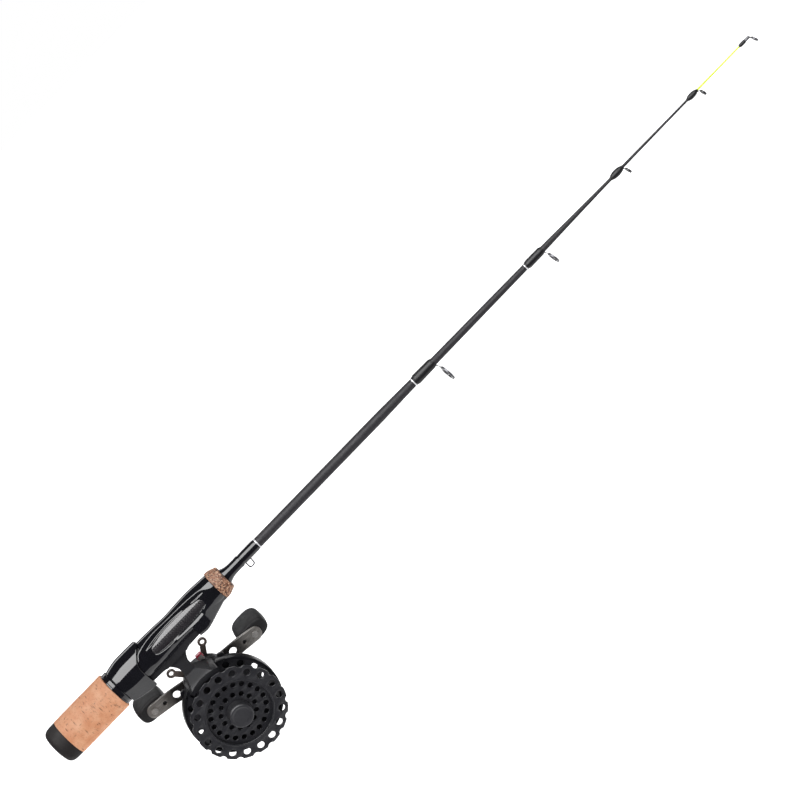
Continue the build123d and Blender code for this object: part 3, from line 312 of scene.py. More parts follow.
class Paint:
    """A Principled material being built. Sizes of its patterns are in millimetres."""

    def __init__(self, name, colour, rough, **sockets):
        self.name = name
        self.material = bpy.data.materials.new(name)
        self.material.use_nodes = True
        self.nodes = self.material.node_tree.nodes
        self.links = self.material.node_tree.links
        self.shader = self.nodes["Principled BSDF"]
        self.shader.inputs["Base Color"].default_value = colour
        self.shader.inputs["Roughness"].default_value = rough
        for socket, value in sockets.items():
            self.shader.inputs[socket.replace("_", " ")].default_value = value
        self.place = self.node("ShaderNodeTexCoord").outputs["Object"]
        self.normal = None

    def node(self, kind, inputs=(), **settings):
        """A node with its settings, and its inputs set or linked."""
        made = self.nodes.new(kind)
        for key, value in settings.items():
            setattr(made, key, value)
        for key, value in dict(inputs).items():
            if isinstance(value, bpy.types.NodeSocket):
                self.links.new(value, made.inputs[key])
            else:
                made.inputs[key].default_value = value
        return made

    def stretched(self, stretch):
        """Object coordinates, squeezed so that a pattern is longer along the larger numbers."""
        if stretch == (1, 1, 1):
            return self.place
        scale = tuple(1 / part for part in stretch)
        return self.node("ShaderNodeMapping", {"Vector": self.place, "Scale": scale}).outputs["Vector"]

    def noise(self, size, detail=3.0, stretch=(1, 1, 1)):
        """Cloudy pattern with features of a size."""
        inputs = {"Vector": self.stretched(stretch), "Scale": 1 / (size * MM), "Detail": detail}
        return self.node("ShaderNodeTexNoise", inputs).outputs["Fac"]

    def cells(self, size, output="Distance", feature="F1", stretch=(1, 1, 1)):
        """Cell pattern with cells of a size."""
        inputs = {"Vector": self.stretched(stretch), "Scale": 1 / (size * MM)}
        return self.node("ShaderNodeTexVoronoi", inputs, feature=feature).outputs[output]

    def on_vectors(self, operation, first, second=(0.0, 0.0, 0.0)):
        """Arithmetic on one or two vectors."""
        return self.node("ShaderNodeVectorMath", {0: first, 1: second}, operation=operation).outputs

    def math(self, operation, first, second=0.0):
        """Arithmetic on one or two values."""
        return self.node("ShaderNodeMath", {0: first, 1: second}, operation=operation).outputs["Value"]

    def blend(self, factor, first, second):
        """Colour between two."""
        made = self.node("ShaderNodeMix", {0: factor, 6: first, 7: second}, data_type="RGBA")
        return made.outputs[2]

    def ramp(self, factor, *stops):
        """Colours along a factor; each stop is a position and three screen levels."""
        made = self.node("ShaderNodeValToRGB", {"Fac": factor})
        elements = made.color_ramp.elements
        while len(elements) < len(stops):
            elements.new(0.5)
        for element, (position, *levels) in zip(elements, stops):
            element.position = position
            element.color = srgb(*levels)
        return made.outputs["Color"]

    def spread(self, factor, low, high, out_low, out_high):
        """A factor's range mapped to another."""
        inputs = {"Value": factor, "From Min": low, "From Max": high, "To Min": out_low, "To Max": out_high}
        return self.node("ShaderNodeMapRange", inputs).outputs["Result"]

    def flecked(self, tone, pattern, low, high, most, *levels):
        """A tone that takes on a second colour, up to most, as a pattern rises from low to high."""
        return self.blend(self.spread(pattern, low, high, 0.0, most), tone, srgb(*levels))

    def feed(self, socket, value):
        """Links a pattern to the shader."""
        self.links.new(value, self.shader.inputs[socket])

    def bump(self, height, depth, strength=1.0):
        """Adds relief whose full height is a depth in millimetres."""
        inputs = {"Height": height, "Distance": depth * MM, "Strength": strength}
        if self.normal is not None:
            inputs["Normal"] = self.normal
        self.normal = self.node("ShaderNodeBump", inputs).outputs["Normal"]
        self.feed("Normal", self.normal)


def cork_paint():
    """Natural cork: warm tan, soft darker grain and small lenticels, with painted shade inside its pits."""
    paint = Paint("cork", srgb(222, 160, 122), 0.72, Specular_IOR_Level=0.25)
    clouds = paint.noise(7.0, 5.0)
    tone = paint.ramp(clouds, (0.3, 214, 146, 106), (0.5, 224, 162, 124), (0.72, 232, 178, 142))
    tone = paint.flecked(tone, paint.noise(0.6, 4.0, (1, 2.2, 2.2)), 0.5, 0.72, 0.5, 192, 122, 84)
    tone = paint.flecked(tone, paint.noise(1.5, 5.0, (0.55, 1.8, 1.8)), 0.64, 0.72, 0.6, 138, 84, 56)
    # painted shade: the tone attribute darkens the cork colour inside its pits, deeper pits darker
    pits = paint.node("ShaderNodeAttribute", attribute_name="tone").outputs["Fac"]
    paint.feed("Base Color", paint.blend(pits, tone, srgb(112, 66, 46)))
    paint.bump(paint.noise(0.9, 5.0), 0.10)
    paint.bump(paint.cells(0.45), 0.05, 0.6)
    return paint


def burl_paint():
    """Granulated cork: tan, orange and dark grains pressed together."""
    grain, stretch = 1.0, (0.8, 1, 1)
    paint = Paint("burl_cork", srgb(159, 123, 106), 0.62, Specular_IOR_Level=0.3)
    shade = paint.cells(grain, "Color", stretch=stretch)
    level = paint.node("ShaderNodeSeparateColor", {"Color": shade}).outputs[0]
    tone = paint.ramp(level, (0.0, 54, 36, 30), (0.24, 112, 76, 58), (0.44, 188, 138, 108),
                      (0.66, 228, 184, 152), (0.84, 156, 100, 70))
    tone = paint.flecked(tone, paint.noise(0.35, 4.0), 0.45, 0.75, 0.4, 112, 76, 58)
    edges = paint.cells(grain, feature="DISTANCE_TO_EDGE", stretch=stretch)
    seams = paint.spread(edges, 0.0, 0.08, 0.7, 0.0)
    paint.feed("Base Color", paint.blend(seams, tone, srgb(56, 38, 32)))
    paint.bump(paint.cells(grain, feature="SMOOTH_F1", stretch=stretch), 0.2)
    paint.bump(paint.noise(0.5, 4.0), 0.06)
    return paint


def plain_paint(name, colour, worn, rough, grain, depth, **sockets):
    """Even material with slight shade and gloss changes and a fine grain."""
    paint = Paint(name, srgb(*colour), rough, **sockets)
    paint.feed("Base Color", paint.flecked(srgb(*colour), paint.noise(14.0, 4.0), 0.35, 0.7, 1.0, *worn))
    paint.feed("Roughness", paint.spread(paint.noise(3.0, 5.0), 0.3, 0.75, rough * 0.85, rough * 1.2))
    paint.bump(paint.noise(grain, 3.0), depth)
    return paint


def gloss_paint():
    """Gloss black lacquer on a moulded shell, with small duller specks of dust."""
    paint = plain_paint("seat_gloss", (20, 20, 24), (24, 24, 29), 0.06, 9.0, 0.012)
    paint.feed("Roughness", paint.spread(paint.noise(0.5, 2.0), 0.72, 0.8, 0.06, 0.22))
    return paint


def weave_paint(tube_radius, tow):
    """Twill of carbon tows: two directions crossing on the tube, under clear resin; each tow is painted
    lighter on its crown and darker at its edges, a painted highlight and painted shade over the twill
    pattern.
    """
    paint = Paint("woven_carbon", srgb(48, 46, 49), 0.4, Specular_IOR_Level=0.2,
                  Coat_Weight=0.9, Coat_Roughness=0.07)
    math = paint.math
    x, y, z = paint.node("ShaderNodeSeparateXYZ", {"Vector": paint.place}).outputs
    around = math("MULTIPLY", math("ARCTAN2", z, y), tube_radius * MM)
    pitch = tow * MM * sqrt(2)
    tows = [math("DIVIDE", math(sense, x, around), pitch) for sense in ("ADD", "SUBTRACT")]
    crowns = [math("SINE", math("MULTIPLY", math("FRACT", position), pi)) for position in tows]
    parity = math("ADD", math("FLOOR", tows[0]), math("FLOOR", tows[1]))
    over = math("GREATER_THAN", math("FRACT", math("MULTIPLY", parity, 0.5)), 0.25)
    under = math("SUBTRACT", 1.0, over)
    height = math("ADD", math("MULTIPLY", crowns[0], over), math("MULTIPLY", crowns[1], under))
    # twill pattern plus painted highlight on each tow's crown and painted shade between tows
    tone = paint.blend(height, srgb(9, 8, 10), srgb(54, 51, 55))
    paint.feed("Base Color", paint.flecked(tone, paint.noise(0.25, 2.0), 0.35, 0.7, 0.5, 30, 28, 31))
    paint.bump(height, 0.10)
    return paint


def blank_paint():
    """Unsanded dark carbon blank with faint fibre streaks and the marks of its wrapping tape."""
    tape_pitch = 2.6 * MM
    paint = Paint("blank_carbon", srgb(52, 51, 54), 0.5, Specular_IOR_Level=0.15)
    streaks = paint.noise(0.5, 4.0, (14, 1, 1))
    tone = paint.ramp(streaks, (0.3, 46, 45, 48), (0.7, 58, 57, 60))
    x = paint.node("ShaderNodeSeparateXYZ", {"Vector": paint.place}).outputs[0]
    tape = paint.math("SINE", paint.math("MULTIPLY", x, 2 * pi / tape_pitch))
    paint.feed("Base Color", paint.flecked(tone, tape, 0.2, 1.0, 0.16, 72, 71, 74))
    paint.feed("Roughness", paint.spread(paint.noise(5.0, 4.0), 0.3, 0.7, 0.42, 0.6))
    paint.bump(tape, 0.012)
    paint.bump(streaks, 0.02)
    return paint


def tip_paint():
    """Fluorescent yellow-green enamel, with a painted glow: it emits a little light of its own."""
    yellow = srgb(222, 246, 40)
    # painted glow: the tip emits some of its own yellow light
    paint = Paint("tip_glass", yellow, 0.3, Emission_Color=yellow, Emission_Strength=0.25, Coat_Weight=0.3)
    paint.feed("Base Color", paint.ramp(paint.noise(6.0, 3.0), (0.35, 206, 236, 30), (0.7, 228, 248, 64)))
    paint.bump(paint.noise(2.0, 3.0), 0.02)
    return paint


def thread_paint():
    """Black winding thread under clear varnish."""
    paint = Paint("thread_varnish", srgb(18, 18, 20), 0.42, Specular_IOR_Level=0.3)
    turns = paint.noise(0.6, 3.0, (0.3, 1, 1))
    paint.feed("Base Color", paint.ramp(turns, (0.35, 14, 14, 16), (0.7, 30, 30, 33)))
    paint.bump(paint.noise(2.5, 3.0), 0.03)
    return paint


def metal_paint(name, colour, stained, rough, stretch, metallic=1.0):
    """Metal with fine brushing along the stretched direction and slight staining."""
    paint = Paint(name, srgb(*colour), rough, Metallic=metallic)
    brushing = paint.noise(0.35, 3.0, stretch)
    paint.feed("Base Color", paint.flecked(srgb(*colour), paint.noise(6.0, 4.0), 0.4, 0.75, 0.8, *stained))
    paint.feed("Roughness", paint.spread(brushing, 0.3, 0.7, rough * 0.75, rough * 1.35))
    paint.bump(brushing, 0.01)
    return paint


def arm_paint(painted_lit_from, painted_lit_to):
    """Crank arm: dark brushed metal painted lighter towards its ends between two distances from the crank's
    axis, a painted highlight for the light its bent ends catch.
    """
    paint = Paint("gunmetal_arm", srgb(60, 56, 54), 0.34, Metallic=0.45)
    centre = (CRANK[0] * MM, 0.0, CRANK[1] * MM)
    offset = paint.on_vectors("SUBTRACT", paint.place, centre)[0]
    flat = paint.on_vectors("MULTIPLY", offset, (1.0, 0.0, 1.0))[0]
    reach = paint.on_vectors("LENGTH", flat)["Value"]
    ragged = paint.math("ADD", reach, paint.math("MULTIPLY", paint.noise(3.0, 4.0), 3.5 * MM))
    # painted highlight: the arm's ends are painted lighter than its middle, with a ragged boundary
    bright = paint.spread(ragged, painted_lit_from * MM, painted_lit_to * MM, 0.0, 1.0)
    brushing = paint.noise(0.3, 3.0, (12, 1, 1))
    painted_shaded_middle = paint.ramp(brushing, (0.3, 30, 28, 27), (0.7, 42, 39, 38))
    painted_lit_ends = paint.ramp(brushing, (0.3, 120, 117, 114), (0.7, 144, 140, 136))
    paint.feed("Base Color", paint.blend(bright, painted_shaded_middle, painted_lit_ends))
    paint.feed("Roughness", paint.spread(brushing, 0.3, 0.7, 0.28, 0.44))
    paint.bump(brushing, 0.012)
    return paint


def frame_paint(gloss_below, dull_above):
    """Satin black casting, duller on the bridge under the stem than on the turned rim."""
    paint = plain_paint("reel_black", (24, 24, 27), (29, 29, 33), 0.3, 0.35, 0.012, Specular_IOR_Level=0.3)
    height = paint.node("ShaderNodeSeparateXYZ", {"Vector": paint.place}).outputs[2]
    patchy = paint.math("ADD", height, paint.math("MULTIPLY", paint.noise(4.0, 3.0), 2.0 * MM))
    paint.feed("Roughness", paint.spread(patchy, gloss_below * MM, dull_above * MM, 0.3, 0.72))
    return paint


def rubber_paint(name, colour, worn, rough):
    """Soft-touch rubber with a stippled skin and a few small dents."""
    paint = plain_paint(name, colour, worn, rough, 0.45, 0.035, Specular_IOR_Level=0.15)
    paint.bump(paint.spread(paint.cells(5.5), 0.05, 0.13, 0.0, 1.0), 0.12, 0.7)
    return paint


TUBE_RADIUS, TUBE_BORE = 8.3, 7.6
TOW_WIDTH = 1.15
# distances from the crank's axis over which the arm's ends are painted lighter, a painted highlight
ARM_PAINTED_LIGHT = (25.5, 34.5)
FRAME_SHEEN = (-34.0, -30.0)

PAINTS = {paint.name: paint for paint in (
    cork_paint(),
    burl_paint(),
    rubber_paint("end_rubber", (33, 30, 30), (39, 36, 36), 0.66),
    gloss_paint(),
    weave_paint(TUBE_RADIUS, TOW_WIDTH),
    plain_paint("arbor_foam", (200, 190, 165), (180, 168, 140), 0.8, 0.8, 0.1),
    blank_paint(),
    tip_paint(),
    thread_paint(),
    metal_paint("bright_trim", (240, 240, 242), (214, 214, 218), 0.3, (1, 8, 8), 0.1),
    metal_paint("guide_steel", (100, 100, 104), (76, 76, 80), 0.36, (6, 1, 1), 0.5),
    metal_paint("guide_black", (40, 40, 43), (54, 54, 58), 0.4, (6, 1, 1), 0.2),
    plain_paint("ring_ceramic", (60, 60, 64), (76, 76, 80), 0.16, 2.0, 0.005, Coat_Weight=0.5),
    frame_paint(*FRAME_SHEEN),
    plain_paint("spool_black", (36, 36, 40), (41, 41, 45), 0.36, 0.3, 0.010),
    plain_paint("cap_black", (40, 40, 44), (46, 46, 50), 0.42, 0.3, 0.012),
    metal_paint("gunmetal", (112, 102, 96), (74, 68, 65), 0.36, (1, 6, 1), 0.35),
    arm_paint(*ARM_PAINTED_LIGHT),
    metal_paint("shaft_steel", (176, 173, 170), (140, 137, 135), 0.28, (1, 8, 1), 0.4),
    metal_paint("gear_brass", (196, 164, 96), (160, 130, 72), 0.3, (1, 6, 1)),
    plain_paint("drag_felt", (70, 66, 60), (84, 80, 72), 0.9, 0.3, 0.08),
    rubber_paint("knob_rubber", (37, 37, 38), (43, 43, 44), 0.52),
    plain_paint("tab_red", (186, 34, 62), (200, 50, 80), 0.3, 1.0, 0.01, Coat_Weight=0.3),
)}


# --- pieces ---
def make(name, body, slot, surface, paint=None, sharp=32.0, tone=None):
    """Makes the visible piece of a CAD node, which rides on a body and wears its slot's paint or another.

    Edges bent by more than the sharp angle stay crisp, and tone is an optional painted shade for each
    point, such as the darkening inside the cork's pits.
    """
    points, faces = surface
    mesh = bpy.data.meshes.new(name + "_look")
    mesh.from_pydata([tuple(float(c) * MM for c in point) for point in points], [], faces)
    work = bmesh.new()
    work.from_mesh(mesh)
    bmesh.ops.recalc_face_normals(work, faces=work.faces)
    work.to_mesh(mesh)
    work.free()
    for polygon in mesh.polygons:
        polygon.use_smooth = True
    mesh.set_sharp_from_angle(angle=radians(sharp))
    # tone carries painted shade into the mesh's tone attribute
    if tone is not None:
        layer = mesh.attributes.new("tone", "FLOAT", "POINT")
        layer.data.foreach_set("value", np.asarray(tone, dtype=np.float32).ravel())
    mesh.materials.append(PAINTS[paint or slot].material)
    obj = bpy.data.objects.new(name + "_look", mesh)
    bpy.context.scene.collection.objects.link(obj)
    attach(obj, body)
    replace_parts(obj, name)


# --- handle ---
CORK_RADIUS = outside_radius("rear_grip")
CAP_RADIUS = outside_radius("butt_cap")
NUT_RADIUS = outside_radius("lock_nut")
CORK_REAR, CORK_FRONT = span("rear_grip")
NUT_FRONT = span("lock_nut")[1]
SEAT_REAR, SEAT_FRONT = span("seat_body")
SLEEVE_RADIUS, SLEEVE_OVERLAP = 10.4, 2.0
PIT_COUNT = 170
NUT_BORE = 9.25


def butt_cap():
    """Rubber end cap: flat face, generous corner and a shallow groove before the cork."""
    crown = ((0.0, 7.4), (0.5, 9.6), (1.5, 11.2), (3.0, 12.15), (5.2, 12.62), (8.0, CAP_RADIUS))
    stations = np.concatenate([np.linspace(0.05, 1.5, 9), np.linspace(1.8, 8.6, 16)])
    profile = [(0.0, 0.05), (0.02, 6.2)] + list(zip(stations, smooth(crown, stations)))
    profile += rounded([(9.2, CAP_RADIUS), (CORK_REAR, CAP_RADIUS), (CORK_REAR, SLEEVE_RADIUS)], 0.35)
    plug = CORK_REAR + SLEEVE_OVERLAP
    profile += [(plug, SLEEVE_RADIUS), (plug, 0.05)]
    return turned_stations(profile, closed=False)


def cork_pits(stations, angles):
    """Depth of the pits in the cork, and the painted shade that darkens them, at every station and angle.
    """
    depths = np.zeros((len(stations), len(angles)))
    pit_painted_shade = np.zeros_like(depths)
    draw = random.Random(11)
    for _ in range(PIT_COUNT):
        centre, turn = draw.uniform(CORK_REAR + 1, CORK_FRONT - 1), draw.uniform(0, 2 * pi)
        length, width = draw.uniform(0.25, 1.0), draw.uniform(0.12, 0.3)
        depth = draw.uniform(0.08, 0.3)
        lean = draw.uniform(-0.5, 0.5)
        if draw.random() < 0.6:
            length, width = width * 1.3, length * 1.5
        arc = ((angles - turn + pi) % (2 * pi) - pi)[None, :] * CORK_RADIUS
        along = (stations - centre)[:, None] + arc * lean * 0.3
        bowl = np.exp(-((along / length)**2 + (arc / width)**2)**1.4)
        depths += depth * bowl
        # painted shade: deeper pits are given more darkening
        pit_painted_shade = np.maximum(pit_painted_shade, bowl * min(1.0, depth * 3.0))
    return depths, pit_painted_shade


def cork_grip():
    """Cork sleeve with real pits, lenticels and a slightly uneven turned surface, and the painted shade for
    its pits.
    """
    rows, sides = 250, 300
    edge, broken = 0.5, 0.15
    even = np.linspace(CORK_REAR + edge, CORK_FRONT - edge, rows)
    stations = np.concatenate([[CORK_REAR, CORK_REAR + broken], even, [CORK_FRONT - broken, CORK_FRONT]])
    angles = angles_of(sides)
    radius = np.full((len(stations), sides), CORK_RADIUS)
    radius[[0, -1]] -= 0.35
    radius[[1, -2]] -= 0.1
    for row, station in enumerate(stations):
        for column, angle in enumerate(angles):
            spot = Vector((station * 0.55, cos(angle) * 5.0, sin(angle) * 5.0))
            radius[row, column] += 0.07 * noise.noise(spot) - 0.02
    depths, pit_painted_shade = cork_pits(stations, angles)
    radius = np.concatenate([radius - depths, np.full((2, sides), SLEEVE_RADIUS)])
    along = stations[list(range(len(stations))) + [-1, 0]][:, None] + BUTT
    # painted shade for the pits, one value per point; the two sleeve rows get none
    tone = np.concatenate([pit_painted_shade, np.zeros((2, sides))])
    return tube_of(*on_rod(along, radius, angles[None, :]), True), tone


def lock_nut():
    """Flanged nut: gloss ring with a fine groove, and the sleeve inside the cork."""
    sleeve_rear = CORK_REAR + SLEEVE_OVERLAP
    groove = CORK_FRONT + 1.15
    ring = rounded([(CORK_FRONT, SLEEVE_RADIUS, 0), (CORK_FRONT, NUT_RADIUS, 0.3),
                    (groove - 0.2, NUT_RADIUS, 0.15), (groove, NUT_RADIUS - 0.3, 0.1),
                    (groove + 0.2, NUT_RADIUS, 0.15), (NUT_FRONT - 0.5, NUT_RADIUS, 0.3),
                    (NUT_FRONT, NUT_RADIUS - 0.6), (NUT_FRONT, NUT_BORE, 0)], 0.2)
    return turned_stations([(sleeve_rear, NUT_BORE), (sleeve_rear, SLEEVE_RADIUS)] + ring)


def threaded_barrel():
    """Barrel with a coarse rounded thread that shows when the nut is backed off."""
    pitch, depth, bore = 3.0, 0.45, 6.0
    rear, front = span("threaded_barrel")
    stations = np.arange(rear, SEAT_REAR, 0.25)
    angles = angles_of(72)[None, :]
    turns = stations[:, None] / pitch + angles / (2 * pi)
    wave = np.abs((turns % 1.0) - 0.5) * 2
    fade = eased(rear, rear + 1.5, stations) * (1 - eased(SEAT_REAR - 3, SEAT_REAR - 1, stations))
    crest = outside_radius("threaded_barrel")
    thread = crest - depth * np.clip(wave * 1.6 - 0.3, 0, 1) * fade[:, None]
    tail = np.array([[SEAT_REAR, TUBE_BORE], [front, TUBE_BORE], [front, bore], [rear, bore]])
    along = np.concatenate([stations, tail[:, 0]])[:, None] + BUTT
    radii = np.concatenate([thread, np.broadcast_to(tail[:, 1:], (4, angles.size))])
    return tube_of(*on_rod(along, radii, angles), True)


HOOD_CREST = ((54.4, 11.2), (58.0, 12.0), (62.0, 12.7), (70.0, 12.9), (83.0, 12.6))
HOOD_UNDERSIDE = ((55.5, 11.3), (60.0, 12.7), (69.6, 14.4), (73.0, 14.2))
HOOD_SIDE_FRONT = 71.6
HOOD_FACET = radians(-9.5)
HOOD_NECK_FRONT = 64.0
HOOD_BORES = (9.65, 11.0)
HOOD_SWEEP, HOOD_SWEEP_HEIGHT = 3.2, 8.0
HOOD_REAR_EDGE, HOOD_FRONT_EDGE = (0.5, 0.4), (0.7, 0.63)
BLOCK_HALF_WIDTH = 8.0
FOOT_HALF_WIDTH = 6.0
FOOT_BOTTOM = 12.2
FOOT_PLAY = 0.15


def line_radius(angle, first, second):
    """Distance from the axis, along a direction, to the line through two (out, up) points."""
    (u0, v0), (u1, v1) = first, second
    across, rise = v1 - v0, u1 - u0
    return (u0 * across - v0 * rise) / (np.cos(angle) * across - np.sin(angle) * rise)


def elevation(angle):
    """Angle above the side nearest to a direction, the same on both sides of the rod."""
    return np.arctan2(np.sin(angle), np.abs(np.cos(angle)))


def softened_least(first, second, width):
    """Smaller of two lengths, with the corner between them rounded."""
    gap = np.clip(0.5 + 0.5 * (second - first) / width, 0.0, 1.0)
    return second * (1 - gap) + first * gap - width * gap * (1 - gap)


def boxed(rise, crest, facet_top, half_width, underside, corner=0.6):
    """Section of a round body whose lower part is two flat flanks and a flat underside."""
    start = (crest * np.cos(facet_top), crest * np.sin(facet_top))
    flank = line_radius(rise, start, (half_width, -underside))
    floor = underside / np.maximum(np.sin(-rise), 0.05)
    low = softened_least(flank, floor, corner)
    return np.where(rise < facet_top, low, crest)


def edge_drop(distance, edge):
    """Fall of a rounded edge, which is given as its length and depth, at a distance from its end."""
    length, depth = edge
    inward = 1 - np.clip(distance / length, 0, 1)
    return depth * (1 - np.sqrt(1 - inward**2))


def sliding_hood():
    """Hood shell: round above, flat flanks and a pocket below; its front edge sweeps forward on top."""
    angles = angles_of(360)[None, :]
    rise = elevation(angles)
    height = np.maximum(np.sin(rise), 0) * HOOD_CREST[-1][1]
    front = HOOD_SIDE_FRONT + HOOD_SWEEP * (height / HOOD_SWEEP_HEIGHT)**2.5 * (1 - 0.0048 * height)
    steps = np.concatenate([[0.0, 0.006, 0.02], np.linspace(0.04, 0.97, 90), [0.985, 0.995, 1.0]])
    stations = NUT_FRONT + steps[:, None] * (front - NUT_FRONT)
    crest, underside = smooth(HOOD_CREST, stations), smooth(HOOD_UNDERSIDE, stations)
    radius = boxed(rise, crest, HOOD_FACET, BLOCK_HALF_WIDTH, np.maximum(underside, crest * 0.99))
    radius -= edge_drop(front - stations, HOOD_FRONT_EDGE) + edge_drop(stations - NUT_FRONT, HOOD_REAR_EDGE)
    beside = (FOOT_HALF_WIDTH + FOOT_PLAY) / np.maximum(np.cos(rise), 0.01)
    below = (FOOT_BOTTOM + FOOT_PLAY) / np.maximum(-np.sin(rise), 0.01)
    room = np.maximum(HOOD_BORES[1], np.where(rise < 0, np.minimum(beside, below), 0))
    neck, bore = HOOD_NECK_FRONT + 0 * front, HOOD_BORES[0] + 0 * front
    stations = np.concatenate([stations, front, neck + 0.05, neck, NUT_FRONT + 0 * front])
    radius = np.concatenate([radius, room, room, bore, bore])
    return tube_of(*on_rod(stations + BUTT, radius, angles), True)


SEAT_CREST = ((66.0, 10.6), (84.0, 10.6), (92.0, 10.42), (104.0, 9.85), (117.0, 10.25),
              (123.0, 10.35), (131.0, 9.95), (139.0, 9.4))
SEAT_NECK = (66.0, 9.6)
SEAT_CHAMFER = 0.25
SEAT_SIDES = 380
RIDGE_UPPER = ((74.0, 24), (76.0, 44), (80.0, 56), (84.0, 63), (90.0, 69), (100.0, 71), (110.0, 69),
               (118.0, 65), (126.0, 60), (130.0, 57), (132.5, 50), (134.5, 40), (136.5, 31), (138.0, 25))
RIDGE_LOWER = ((74.0, 20), (76.0, -2), (80.0, -12), (84.0, -18), (100.0, -18), (106.0, -20), (112.0, -21),
               (118.0, -21), (123.0, -20), (126.0, -16), (130.0, -13), (132.5, -6), (134.5, 4), (136.5, 13),
               (138.0, 19))
RIDGE_WEIGHTS = (1, 2, 3, 2, 1)
LENGTHWISE_PASSES = 4
SCOOP_TILT, SHELF_TILT = radians(22), radians(63)
SHELF_START = radians(42)
SCOOP_FLOOR = 8.5
LEDGE_RADIUS, LEDGE_TOP = 8.5, radians(10)
LEDGE_REAR, LEDGE_FRONT = (96.0, 99.0), (122.0, 125.0)
LOWER_WALL = ((84.0, 22), (97.0, 24), (101.0, 35), (121.0, 35), (126.0, 22))
WINDOW = {"centre": 106.0, "length": 42.5, "width": 7.5, "rise": 2.65, "fullness": 3.0}
WINDOW_ROLL = 0.7
WINDOW_LOWEST = radians(-60)
LIP_REAR = 111.5
LIP_CORNER = 3.0
LIP_UNDERSIDE = ((111.5, 12.9), (117.0, 13.4), (122.0, 12.5), (128.0, 11.2), (136.0, 8.9))
LIP_HALF_WIDTH = ((111.5, 8.35), (122.0, 8.35), (126.0, 7.4), (136.0, 6.6))


def flat_cut(rise, tilt, reach):
    """Distance from the axis to a flat that faces a tilt, at a reach from the axis."""
    return reach / np.maximum(np.cos(rise - tilt), 0.2)


def scooped(station, rise, crest):
    """Section of the seat with its long side scoop, down to the flat floor that the window opens in."""
    upper, lower = np.radians(smooth(RIDGE_UPPER, station)), np.radians(smooth(RIDGE_LOWER, station))
    wall = flat_cut(rise, SCOOP_TILT, crest * np.cos(upper - SCOOP_TILT))
    floor = flat_cut(rise, SCOOP_TILT, SCOOP_FLOOR)
    shelf = SCOOP_FLOOR / cos(SHELF_START - SCOOP_TILT) * cos(SHELF_TILT - SHELF_START)
    floor = np.where(rise > SHELF_START, flat_cut(rise, SHELF_TILT, shelf), floor)
    tilt = np.radians(smooth(LOWER_WALL, station))
    low_wall = np.where(rise < SCOOP_TILT, flat_cut(rise, tilt, crest * np.cos(lower - tilt)), 0.0)
    hollow = np.maximum(np.maximum(wall, floor), low_wall)
    on_ledge = eased(*LEDGE_REAR, station) * (1 - eased(*LEDGE_FRONT, station))
    ledge = np.minimum(hollow, np.maximum(low_wall, LEDGE_RADIUS))
    hollow = np.where(rise < LEDGE_TOP, hollow + (ledge - hollow) * on_ledge, hollow)
    inside = (rise < upper) & (rise > lower)
    return np.where(inside, np.minimum(hollow, crest), crest)


def eroded(radius):
    """Section radii with their ridges rounded, by averaging round the section and along the rod."""
    shifts = range(-(len(RIDGE_WEIGHTS) // 2), len(RIDGE_WEIGHTS))
    radius = sum(weight * np.roll(radius, shift, axis=1) for shift, weight in zip(shifts, RIDGE_WEIGHTS))
    radius = radius / sum(RIDGE_WEIGHTS)
    for _ in range(LENGTHWISE_PASSES):
        radius[1:-1] = (radius[:-2] + 2 * radius[1:-1] + radius[2:]) / 4
    return radius


def windowed(station, rise, radius):
    """Opens the window: its edge rolls down to just under the woven tube."""
    half_length, half_width, power = WINDOW["length"] / 2, WINDOW["width"] / 2, WINDOW["fullness"]
    along = np.maximum(np.abs(station - WINDOW["centre"]) / half_length, 0.01)
    up = np.maximum(np.abs(radius * np.sin(rise) - WINDOW["rise"]) / half_width, 0.01)
    size = (along**power + up**power)**(1 / power)
    steepness = np.hypot((along / size)**(power - 1) / half_length, (up / size)**(power - 1) / half_width)
    keep = eased(0.0, WINDOW_ROLL, (size - 1) / steepness)
    under = TUBE_RADIUS - 0.25
    return np.where(rise > WINDOW_LOWEST, under + (radius - under) * keep, radius)


def seat_stations():
    """Stations of the seat's sections, closer together at its ends, its neck and the step to its lip."""
    neck = SEAT_NECK[0]
    rear = [SEAT_REAR, SEAT_REAR + 0.2, neck - 0.01, neck]
    front = [SEAT_FRONT - 0.3, SEAT_FRONT - 0.1, SEAT_FRONT]
    stations = np.concatenate([rear, np.arange(neck + 0.3, SEAT_FRONT - 0.45, 0.3), front])
    behind_lip = int(np.searchsorted(stations, LIP_REAR))
    return np.insert(stations, behind_lip, (LIP_REAR - 0.02, LIP_REAR, LIP_REAR + 0.15))


def seat_body():
    """Gloss seat shell: side scoops with windows, and a boxy lip below for the front of the reel foot."""
    stations = seat_stations()[:, None]
    angles = angles_of(SEAT_SIDES)[None, :]
    rise = elevation(angles)
    crest = smooth(SEAT_CREST, stations)
    radius = windowed(stations, rise, eroded(scooped(stations, rise, crest + 0 * rise)))
    lower = np.radians(smooth(RIDGE_LOWER, stations))
    underside = smooth(LIP_UNDERSIDE, stations)
    lip = boxed(rise, crest, lower, smooth(LIP_HALF_WIDTH, stations), underside, LIP_CORNER)
    radius = np.where((stations >= LIP_REAR) & (rise < lower), np.maximum(radius, lip), radius)
    radius[0] = SEAT_NECK[1] - SEAT_CHAMFER
    radius[1:3] = SEAT_NECK[1]
    radius[3] = crest[3] - SEAT_CHAMFER
    radius[-1] -= SEAT_CHAMFER
    radius[-2] -= 0.07
    return tube_of(*on_rod(stations + BUTT, radius, angles), False)


def seat_tube():
    """Woven tube that shows through the seat's windows."""
    rear, front = span("seat_tube")
    profile = [(rear, TUBE_BORE), (rear, TUBE_RADIUS), (front, TUBE_RADIUS), (front, TUBE_BORE)]
    return turned_stations(profile, sides=180)


